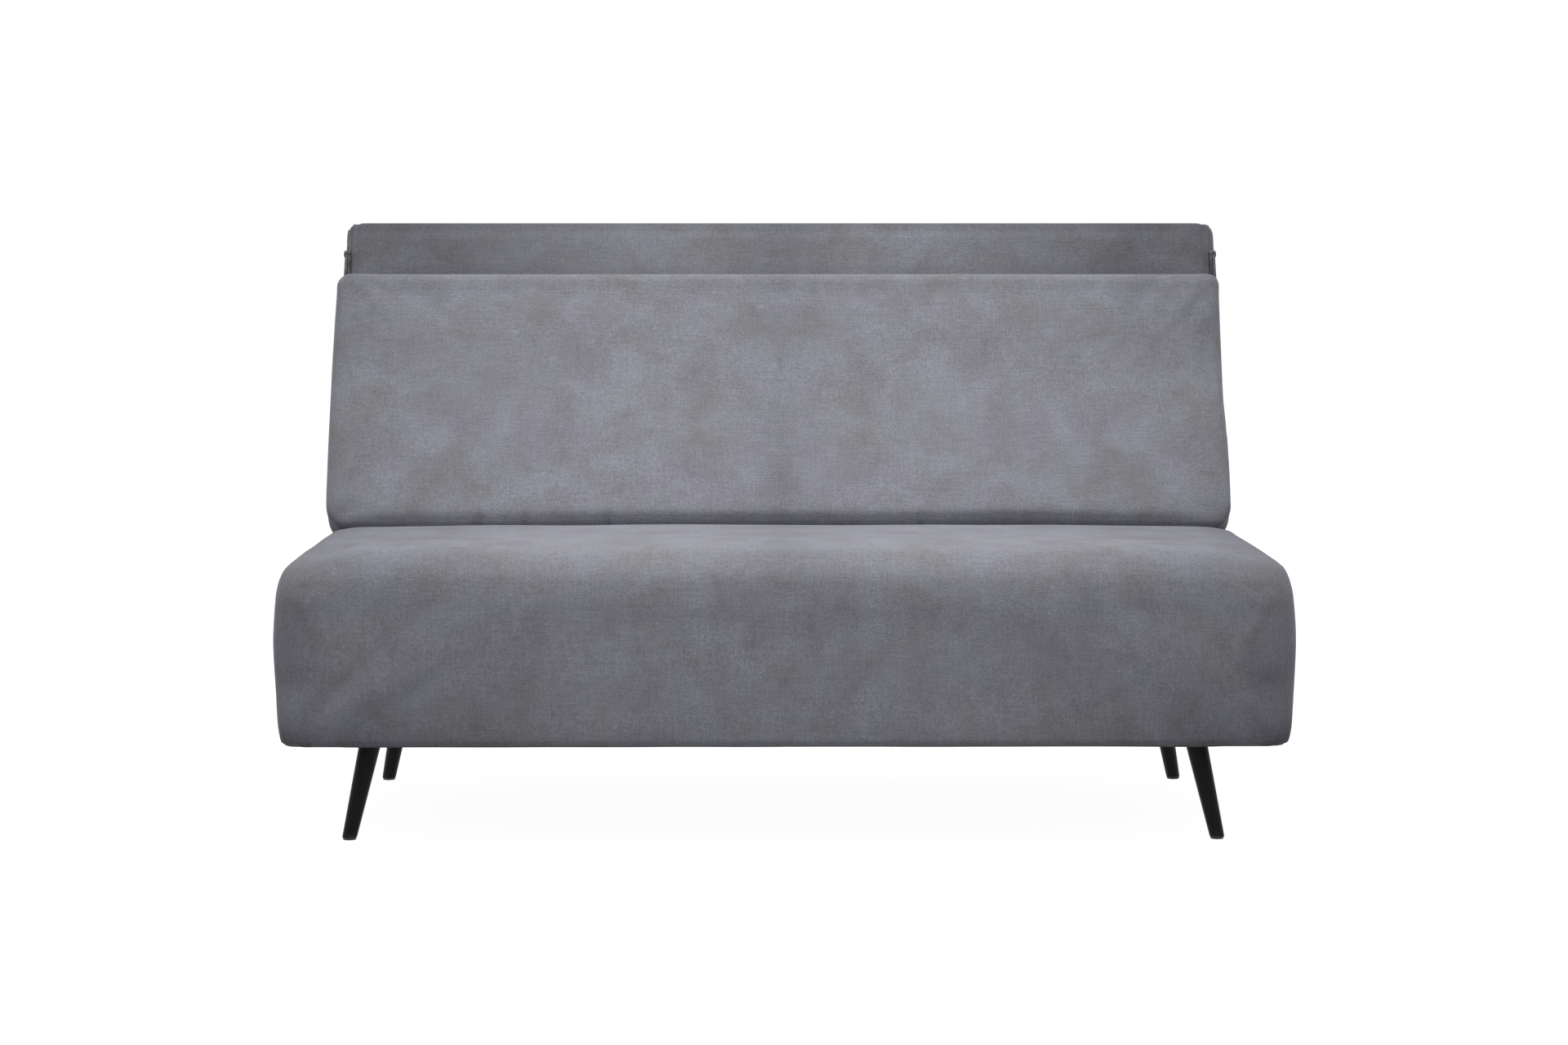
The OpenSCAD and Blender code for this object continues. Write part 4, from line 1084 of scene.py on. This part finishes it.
def seat_ring(height):
    """One outline of the seat's base form, at a height in millimetres over its underside."""
    half = read_off(SEAT_SIDES, height) * MM
    y_low = seat_front + read_off(SEAT_FRONT, height) * MM
    y_high = joint_y - SEAT_REAR_CLEAR - read_off(SEAT_REAR, height) * MM
    above_hem = float(ease(height, 15, 110))
    corner = (LOW_CORNER + MORE_CORNER * above_hem) * MM
    ring = outline(half, y_low, y_high, corner, REAR_CORNER, seat_low.z + height * MM)
    to_end = np.clip((np.abs(ring[:, 0]) - SEAT_HALF + END_REACH) / END_REACH, 0, 1)
    recess = END_RECESS * (0.3 + 0.7 * above_hem) * MM
    ring[:, 1] += recess * to_end ** 2 * (1 - ease(ring[:, 1], y_low, y_low + 0.12))
    ring[:, 0] += RIGHT_LET_OUT * np.clip(ring[:, 0] / half, 0, 1)
    return ring


def raise_crest(places):
    """Lifts the seat's top towards its padded front edge, but not at its sides."""
    x, y, z = places.T
    moved = places.copy()
    top = ease(z - seat_low.z, 190 * MM, 273 * MM)
    forward = 1 - ease(y, seat_front + 60 * MM, joint_y - 20 * MM)
    middle = 1 - ease(np.abs(x), SEAT_HALF - 150 * MM, SEAT_HALF - 12 * MM)
    moved[:, 2] += CREST * top * forward * middle
    return moved


heights = np.unique(np.concatenate([SEAT_FRONT[:, 0], np.linspace(0, 273, 30)]))
print("outlines of the seat:", len(heights))

# %% Base form of the seat cover
SWEEP_R = 51 * MM


def rear_sweep(radius):
    """What the back's lower end sweeps over the seat's rear edge, as a prism."""
    up = np.array([math.cos(lean_angle), math.sin(lean_angle)])
    front = np.array([-up[1], up[0]])
    reach = 0.25
    arc = [radius * np.array([math.cos(a), math.sin(a)])
           for a in np.linspace(lean_angle, 0, 12)]
    section = [up * radius + front * reach, *arc, (PIN_TO_JOINT + reach, 0),
               (PIN_TO_JOINT + reach, reach), (0, reach)]
    return prism("sweep", [(pin.y + y, pin.z + z) for y, z in section], -1, 1)


seat = stacked_form("seat_cover_cloth", [seat_ring(height) for height in heights])
move_to(seat.data, raise_crest(positions(seat.data)))
cut(seat, [rear_sweep(SWEEP_R)])
seat_surface = remesh(seat, (14) * MM)
print("seat base points:", len(seat.data.vertices))

# %% Puff the seat cover
FRAME_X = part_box("hinge_bracket_right")[0].x


def seat_held(places):
    """How firmly the seat's cover is held: at its stapled lower edge and its rear end."""
    above = places[:, 2] - seat_low.z
    low_edge = 1 - ease(above, 4 * MM, 55 * MM)
    return np.maximum(low_edge, ease(places[:, 1], joint_y - 75 * MM, joint_y - 45 * MM))


puff(seat, seat_held(positions(seat.data)), 4.0, 6 * MM)
refine(seat, seat_surface, seat_held)

# %% [markdown]
# The loose cover hangs in shallow slanting folds at its lower front corners. A few creases cross
# its front near the ends, not alike on the left and the right, and the top's rear edge creeps into
# the joint in a few small tucks.

# %% Creases of the seat cover
# Rows are (start, end) in metres across and up, then width and depth in millimetres.
SEAT_CREASES = [((-0.74, 0.17), (-0.58, 0.34), 13, 0.9), ((-0.70, 0.165), (-0.45, 0.30), 16, 0.8),
                ((0.75, 0.20), (0.60, 0.36), 13, 0.9), ((0.72, 0.40), (0.66, 0.27), 9, 0.8)]


def seat_details(places, outward):
    """Moves the seat cover's points by its creases, corners and tucks."""
    x, y, z = places.T
    to_front = ease(-outward[:, 1], 0.3, 0.8)
    to_side = ease(np.abs(outward[:, 0]), 0.4, 0.9)
    to_top = ease(outward[:, 2], 0.3, 0.8)
    push = 1.6 * MM * waves(places, 0.17, 3.1) * np.maximum(to_front, to_top)
    push += slanted(places, to_front, [0, 2], (0.79, 0.135), 0.42, 13.0, 2.0 * MM, 2.0)
    push += slanted(places, to_side, [1, 2], (seat_front - 0.01, 0.14), 0.35, 13.0, 2.0 * MM, 5.0)
    for start, end, width, depth in SEAT_CREASES:
        push += crease(places, to_front, [0, 2], start, end, width * MM, depth * MM)
    moved = places + outward * push[:, None]
    at_joint = to_top * ease(y, joint_y - 60 * MM, joint_y - 25 * MM)
    moved[:, 2] -= 3 * MM * tucks(x) * at_joint
    return moved


seat_mesh = seat.data
move_to(seat_mesh, seat_details(positions(seat_mesh), normals(seat_mesh)))
print("seat box:", positions(seat_mesh).min(0).round(4), positions(seat_mesh).max(0).round(4))

# %% Room for the seat's frame and hinges
LIP_T = 4 * MM
LIP_W = 40 * MM
board_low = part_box("front_board")[0]
rear_board_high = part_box("rear_board")[1]
bracket_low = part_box("hinge_bracket_right")[0]
foam_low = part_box("seat_foam")[0].z
HINGE_NOTCH = 19 * MM
BRACKET_ROOM = 29.3 * MM
cutters = [
    rear_sweep(SWEEP_R),
    box_cutter(-FRAME_X, FRAME_X, board_low.y, rear_board_high.y, seat_low.z + LIP_T, foam_low),
    box_cutter(LIP_W - FRAME_X, FRAME_X - LIP_W, seat_front + LIP_W, joint_y - LIP_W,
               seat_low.z - 0.02, seat_low.z + 2 * LIP_T),
    *both_sides(FRAME_X, 0.9, pin.y - HINGE_NOTCH, 0.5, pin.z - HINGE_NOTCH, 0.6),
    *both_sides(FRAME_X - 1 * MM, FRAME_X + 7.5 * MM, pin.y - BRACKET_ROOM,
                pin.y + BRACKET_ROOM, bracket_low.z - 0.3 * MM, pin.z),
]
cut(seat, cutters)
finish_cover(seat, seat_place, "seat_base", seat_cloth, ["seat_cover", "seat_foam"])

# %% [markdown]
# ## The back covers
#
# Both back sections are flat padded panels with rounded edges, boxed in one cloth. Their soft face
# has a low crown. On the rear section the cloth is also carried over its underside at the top,
# because that strip shows above the front section.

# %% Widths of the back covers
# Rows are (distance from the section's lower end, half width), in millimetres.
FRONT_LEFT = smooth_line([(0, 778), (100, 779), (196, 778), (313, 776), (418, 772.5), (461, 770.5)])
FRONT_RIGHT = smooth_line([(0, 770), (90, 770.3), (137, 769.5), (196, 767.5), (254, 764.5),
                           (461, 763.8)])
REAR_LEFT = smooth_line([(0, 770.5), (120, 771.5), (400, 771), (585, 770)])
REAR_RIGHT = smooth_line([(0, 772.5), (120, 773.5), (400, 772), (585, 771)])


def let_out(places, half, left, right):
    """Gives a back cover its width on either side, all along its length."""
    y = places[:, 1] / MM
    width = np.where(places[:, 0] < 0, read_off(left, y), read_off(right, y)) * MM
    moved = places.copy()
    moved[:, 0] *= width / half
    return moved


print("widths of the back covers in mm:", FRONT_LEFT[0, 1], FRONT_RIGHT[0, 1], REAR_LEFT[0, 1])

# %% Base form of a back cover
SIDE_R = 17 * MM
UNDER_R = 28 * MM
CROWN = 3 * MM
SKIN = 1.5 * MM
DEPTHS = [0, 1, 3, 6, 10, 15, 21, 27, 36, 48, 58, 64, 70, 76, 82, 87, 90, 92]
SOFT_DEPTH = 34 * MM
RAIL_DEPTH = 50 * MM


def drawn_in(depth, reach, size):
    """How far a rounded edge is drawn in at a depth below its face, for a quarter ellipse."""
    t = max(1 - depth / size, 0)
    return reach * (1 - math.sqrt(max(1 - t * t, 0)))


def panel_rings(half, length, soft_ends, under_ends, corners):
    """Outlines of a back section from its underside up to its soft face. soft_ends gives (reach,
    size) of the soft face's rounding at either end, under_ends the underside's radii, and corners
    the radii of the lower and upper corners and how much rounder the lower ones are in front."""
    low_corner, high_corner, rounder = corners
    rings = [outline(0.93 * half, 0.06 * length, 0.94 * length, low_corner, high_corner,
                     -0.6 * CROWN),
             outline(0.8 * half, 0.2 * length, 0.8 * length, low_corner, high_corner,
                     -0.25 * CROWN)]
    for depth in DEPTHS:
        deep = depth * MM
        below = PANEL_T - CROWN - deep
        side = drawn_in(deep, SIDE_R, SIDE_R) + drawn_in(below, UNDER_R, UNDER_R) + SKIN
        corner = low_corner + rounder * (1 - ease(deep, SOFT_DEPTH, RAIL_DEPTH))
        low, high = (drawn_in(deep, *soft) + drawn_in(below, under, under) + SKIN / 2
                     for soft, under in zip(soft_ends, under_ends))
        rings.insert(0, outline(half - side, low, length - high, corner, high_corner,
                                -CROWN - deep))
    return rings


def start_panel(name, half, length, widths, soft_ends, under_ends, corners):
    """The remeshed base form of a back cover, and its surface."""
    piece = stacked_form(name, panel_rings(half, length, soft_ends, under_ends, corners))
    move_to(piece.data, let_out(positions(piece.data), half, *widths))
    surface = remesh(piece, (13) * MM)
    print(name, "base points:", len(piece.data.vertices))
    return piece, surface


def panel_held(places):
    """How firmly a back cover is held: all round its underside and at its lower end."""
    under = 1 - ease(places[:, 2], -78 * MM, -40 * MM)
    return np.maximum(under, 1 - ease(places[:, 1], 5 * MM, 24 * MM))


front, front_surface = start_panel(
    "front_back_cloth", FRONT_HALF, FRONT_L, (FRONT_LEFT, FRONT_RIGHT),
    ((17 * MM, 15 * MM), (7 * MM, 7 * MM)), (8 * MM, 8 * MM),
    (27 * MM, 14 * MM, 13 * MM))
rear, rear_surface = start_panel(
    "rear_back_cloth", REAR_HALF, REAR_L, (REAR_LEFT, REAR_RIGHT),
    ((20 * MM, 20 * MM), (20 * MM, 20 * MM)), (5 * MM, 8 * MM),
    (9 * MM, 24 * MM, 0))

# %% Puff the back covers
for piece, surface in ((front, front_surface), (rear, rear_surface)):
    puff(piece, panel_held(positions(piece.data)), 4.0, 6 * MM)
    refine(piece, surface, panel_held)

# %% [markdown]
# The front section narrows slightly towards its top, its sides are drawn in by the zip seams and
# short folds run down from its top corners. Its lower edge is wavy, where the cloth tucks into the
# joint. The rear cover is drawn in beside the fold arms, which swing past its edge. All of it
# stays clear of the neighbours, so the bed still folds flat.

# %% Creases of the back covers


def keep_between(values, low, high, soft):
    """Presses values back between limits, softly over the last few millimetres."""
    over = values > high - soft
    values = np.where(over, high - soft * np.exp(-(values - high + soft) / soft), values)
    under = values < low + soft
    return np.where(under, low + soft * np.exp((values - low - soft) / soft), values)


JOINT_LIFT = smooth_line([(-777, 0), (-500, 0), (-360, 2.5), (-290, 4), (0, 4), (230, 4),
                          (412, 6.5), (623, 2), (777, 0)])
JOINT_CLOSE = 2.6 * MM
STRIP_L = 136 * MM
STRIP_SEEN = REAR_L - FRONT_L
ARM_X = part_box("fold_arm_right")[0].x - 1.3 * MM
ARM_DEPTH = 75 * MM
ARM_END = 73 * MM


def top_folds(places, facing, half, top, seed):
    """Folds and creases that run out of the two top corners, on the side that shows."""
    down = places * (1, -1, 1) if top > 0 else places
    push = slanted(down, facing, [0, 1], (half, -top), 0.38, 13.0, 1.7 * MM, seed + 2)
    push += crease(places, facing, [0, 1], (half * -0.98, abs(top - 0.02)),
                   (half * -0.86, abs(top - 0.15)), 12 * MM, 0.7 * MM)
    return push + crease(places, facing, [0, 1], (half * 0.98, abs(top - 0.015)),
                         (half * 0.88, abs(top - 0.13)), 11 * MM, 0.7 * MM)


def front_details(places, outward):
    """Moves the front back cover's points by its folds, and lifts its wavy lower edge."""
    x, y, z = places.T
    soft = ease(outward[:, 2], 0.2, 0.8)
    push = 1.4 * MM * waves(places, 0.2, 11.0) * soft
    push += top_folds(places, soft, FRONT_HALF, FRONT_L, 11.0)
    moved = places + outward * push[:, None]
    at_joint = (1 - ease(y, 6 * MM, 48 * MM)) * ease(z, -75 * MM, -50 * MM)
    moved[:, 1] += (read_off(JOINT_LIFT, x / MM) * MM + 5 * MM * tucks(x)) * at_joint
    moved[:, 1] = keep_between(moved[:, 1], 0, FRONT_L + 0.5 * MM, 2 * MM)
    behind = ease(-z, 48 * MM, 62 * MM) * (1 - ease(-z, 82 * MM, 90 * MM))
    moved[:, 1] -= JOINT_CLOSE * behind * (1 - ease(y, 4 * MM, 20 * MM))
    moved[:, 2] = keep_between(moved[:, 2], -PANEL_T - 0.6 * MM, 12 * MM, 2 * MM)
    return moved


def rear_details(places, outward):
    """Pads out the strip of the rear section that shows, and folds it at its top corners."""
    x, y, z = places.T
    soft, under = ease(outward[:, 2], 0.2, 0.8), ease(-outward[:, 2], 0.3, 0.8)
    in_strip = (ease(y, 3 * MM, 34 * MM) * (1 - ease(y, 78 * MM, STRIP_SEEN - 6 * MM))
                * (1 - ease(np.abs(x), REAR_HALF - 62 * MM, REAR_HALF - 26 * MM)))
    folds = top_folds(places, under, REAR_HALF, 0.0, 23.0) + 1.2 * MM * waves(places, 0.14, 5.0)
    strip = np.maximum(3.0 * MM + folds, 0) * in_strip * under
    push = 1.5 * MM * waves(places, 0.2, 23.0) * soft + strip
    moved = places + outward * push[:, None]
    moved[:, 1] = keep_between(moved[:, 1], -0.8 * MM, REAR_L + 1 * MM, 2 * MM)
    deepest = -PANEL_T - 0.6 * MM - 5 * MM * in_strip
    moved[:, 2] = np.maximum(moved[:, 2], deepest)
    beyond_arm = np.maximum(ease(moved[:, 2], -ARM_DEPTH, 20 * MM - ARM_DEPTH),
                            ease(moved[:, 1], ARM_END, ARM_END + 20 * MM))
    room = ARM_X + 16 * MM * beyond_arm
    moved[:, 0] = np.clip(moved[:, 0], -room, room)
    return moved


for piece, details in ((front, front_details), (rear, rear_details)):
    mesh = piece.data
    move_to(mesh, details(positions(mesh), normals(mesh)))
    print(piece.name, "box:", positions(mesh).min(0).round(4), positions(mesh).max(0).round(4))

# %% Room for the back frames and hinges
WALL = 8 * MM
RAIL_INSET = 3 * MM
CHANNEL_DEPTH = 63.5 * MM
OPENING_MARGIN = 45 * MM
PANEL_SKIN = 1.6 * MM


def panel_room(frame_half, length, foam_node, channel_y, open_y):
    """Cutters for the rails, the underside's opening and the side channels."""
    foam = frame["nodes"][foam_node]
    flat = (rear_place if foam_node.startswith("rear") else front_place).inverted()
    foam_bottom = min((flat @ v.co).z for v in foam.data.vertices)
    return [
        box_cutter(RAIL_INSET - frame_half, frame_half - RAIL_INSET, WALL, length - WALL,
                   PANEL_SKIN - PANEL_T, foam_bottom),
        box_cutter(OPENING_MARGIN - frame_half, frame_half - OPENING_MARGIN, open_y,
                   length - OPENING_MARGIN, -PANEL_T - 0.02, 2 * PANEL_SKIN - PANEL_T),
        *both_sides(frame_half, 0.9, channel_y, 0.9, -0.2, -CHANNEL_DEPTH),
    ]


cut(front, panel_room(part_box("recline_arm_right")[0].x, FRONT_L, "front_back_foam", -0.1,
                      OPENING_MARGIN))
cut(rear, panel_room(FRAME_X - 0.3 * MM, REAR_L, "rear_back_foam", STRIP_L,
                     STRIP_L + OPENING_MARGIN))
finish_cover(front, front_place, "front_back", front_cloth,
             ["front_back_cover", "front_back_foam"])
finish_cover(rear, rear_place, "rear_back", rear_cloth, ["rear_back_cover", "rear_back_foam"])

# %% [markdown]
# ## Dust covers
#
# Each section's underside is closed by a sheet of black cloth. It is cut out round the leg blocks,
# stretched and stapled, so it hangs through a little between its edges and puckers at the staples.
# The sheet itself isn't simulated: it sinks by a smooth curve that is zero where wood backs it.

# %% A stretched sheet with its staples
STAPLE_PITCH = 60 * MM


def grid_lines(low, high, extra, step=13 * MM):
    """Even grid lines between two values, with the extra ones put in."""
    even = np.linspace(low, high, round((high - low) / step) + 1)
    return np.unique(np.round(np.concatenate([even, extra]), 6))


def stretched_sheet(name, half, y_low, y_high, z, opening, sink, middle, notches):
    """A single-sided sheet. opening is (half width, low, high) of the hole that it shows through,
    middle half the width of the beam behind it, notches (x, low, high) of the corner cut-outs."""
    cut_x, cut_low, cut_high = notches or (half, y_low, y_high)
    xs = grid_lines(-half, half, [-cut_x, cut_x])
    ys = grid_lines(y_low, y_high, [cut_low, cut_high])
    gx, gy = (a.ravel() for a in np.meshgrid(xs, ys))
    open_x, open_low, open_high = opening
    u = np.clip((np.abs(gx) - middle) / (open_x - middle), 0, 1)
    v = np.clip((gy - open_low) / (open_high - open_low), 0, 1)
    bowl = 16 * u * (1 - u) * v * (1 - v)
    if notches:
        clear = np.hypot(np.clip(cut_x - np.abs(gx), 0, 1),
                         np.clip(np.minimum(gy - cut_low, cut_high - gy), 0, 1))
        bowl *= ease(clear, 0, 0.1)
    rim = np.minimum(np.minimum(gy - open_low, open_high - gy), open_x - np.abs(gx))
    pucker = ease(rim, 0, 10 * MM) * (1 - ease(rim, 10 * MM, 70 * MM))
    beat = np.cos(2 * math.pi * np.where(open_x - np.abs(gx) < rim + 1 * MM, gy, gx) / STAPLE_PITCH)
    folds = waves(np.column_stack([gx, gy, 0 * gx]), 0.11, 41.0)
    down = sink * (bowl * (1 + 0.25 * folds) + 0.1 * pucker * (1 + beat))
    columns = len(xs)
    faces = []
    for row in range(len(ys) - 1):
        for column in range(columns - 1):
            x, y = (xs[column] + xs[column + 1]) / 2, (ys[row] + ys[row + 1]) / 2
            if abs(x) > cut_x and not cut_low < y < cut_high:
                continue
            first = row * columns + column
            faces.append((first, first + columns, first + columns + 1, first + 1))
    sheet = mesh_object(name, np.column_stack([gx, gy, z - down]), faces)
    bm = bmesh.new()
    bm.from_mesh(sheet.data)
    bmesh.ops.delete(bm, geom=[v for v in bm.verts if not v.link_faces], context="VERTS")
    bm.to_mesh(sheet.data)
    bm.free()
    sheet.data.shade_smooth()
    sheet.data.materials.append(finishes["dust_cloth"])
    return sheet


def staple_rows(name, rows, z, place, body):
    """Zinc staples along rows, each (x, y, x, y) from end to end. Only their crowns show."""
    points, faces = [], []
    long, wide, thick = 5 * MM, 0.6 * MM, 0.35 * MM
    for number, (x0, y0, x1, y1) in enumerate(rows):
        start, way = np.array([x0, y0]), np.array([x1 - x0, y1 - y0])
        count = int(np.linalg.norm(way) / STAPLE_PITCH)
        for k in range(count + 1):
            turn = math.atan2(way[1], way[0]) + 0.25 * noise.noise((k * 1.7, number * 3.1, 0.5))
            along = np.array([math.cos(turn), math.sin(turn)])
            side = np.array([-along[1], along[0]])
            spot = start + way * k / count
            base = len(points)
            for reach, low in ((-1, 0.6), (-0.86, -1), (0.86, -1), (1, 0.6)):
                for edge in (-1, 1):
                    x, y = spot + along * reach * long + side * edge * wide
                    points += [(x, y, z + low * thick), (x, y, z + thick)]
            for s in range(3):
                a, b = base + 4 * s, base + 4 * s + 4
                faces += [(a, a + 2, b + 2, b), (a + 1, b + 1, b + 3, a + 3), (a, b, b + 1, a + 1),
                          (a + 2, a + 3, b + 3, b + 2)]
            faces += [(base, base + 1, base + 3, base + 2),
                      (base + 12, base + 14, base + 15, base + 13)]
    piece = mesh_object(name, points, faces)
    piece.data.materials.append(finishes["zinc_steel"])
    piece.matrix_world = place
    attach(piece, body)
    print(name, "staples:", len(points) // 16)


def rim_rows(x, y_low, y_high, corner):
    """The four rows of staples of a rectangular rim, kept off its corners."""
    return [(corner - x, y_low, x - corner, y_low), (corner - x, y_high, x - corner, y_high),
            (-x, y_low + corner, -x, y_high - corner), (x, y_low + corner, x, y_high - corner)]


# %% The three dust covers
# Sheets, openings and notches are (half width, low end, high end), as the frame has them.
SEAT_SHEET, SEAT_SHEET_Z, SEAT_SHEET_AREA = (0.7447, -0.491133, 0.223267), 0.1604, 0.9591
SEAT_OPENING = (FRAME_X - LIP_W, seat_front + LIP_W, joint_y - LIP_W)
LEG_NOTCHES = (0.584985, -0.331418, 0.054552)
FRONT_SHEET, FRONT_OPENING = (0.72, 0.030, 0.431), (0.705, 0.045, 0.416)
REAR_SHEET, REAR_OPENING = (0.7147, 0.166, 0.555), (0.6997, 0.181, 0.540)
BACK_SHEET_Z = -0.093
SEAT_SINK, BACK_SINK = 5 * MM, 1.3 * MM
BEAM_HALF, RAIL_HALF = 25 * MM, 20 * MM
STAPLES_IN = 22 * MM
STAPLE_DROP = 0.1 * MM
DUST_LAYERS = [
    ("seat_dust_sheet", "seat_base", seat_place, "seat_dust_cover", SEAT_SHEET, SEAT_SHEET_Z,
     SEAT_OPENING, SEAT_SINK, BEAM_HALF, LEG_NOTCHES, ("front_board", "rear_board", "centre_beam"),
     SEAT_SHEET_AREA, rim_rows(0.727, seat_front + 33 * MM, 0.2086, 70 * MM),
     seat_low.z - STAPLE_DROP),
    ("front_back_dust_sheet", "front_back", front_place, "front_back_dust_cover", FRONT_SHEET,
     BACK_SHEET_Z, FRONT_OPENING, BACK_SINK, RAIL_HALF, None,
     ("front_back_side_rails", "front_back_cross_rails"), None,
     rim_rows(0.7275, STAPLES_IN, FRONT_L - STAPLES_IN, 60 * MM), -PANEL_T - STAPLE_DROP),
    ("rear_back_dust_sheet", "rear_back", rear_place, "rear_back_dust_cover", REAR_SHEET,
     BACK_SHEET_Z, REAR_OPENING, BACK_SINK, RAIL_HALF, None,
     ("rear_back_side_rails", "rear_back_cross_rails"), None,
     rim_rows(0.722, STRIP_L + STAPLES_IN, REAR_L - STAPLES_IN, 60 * MM),
     -PANEL_T - STAPLE_DROP),
]
for (name, body, place, node, size, height, opening, sink, middle, notches, backed_by, area, rows,
     staple_z) in DUST_LAYERS:
    sheet = stretched_sheet(name, *size, height, opening, sink, middle, notches)
    sheet.matrix_world = place
    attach(sheet, body)
    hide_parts(node)
    staple_rows(name.replace("dust_sheet", "staples"), rows, staple_z, place, body)
    print(name, "faces:", len(sheet.data.polygons))
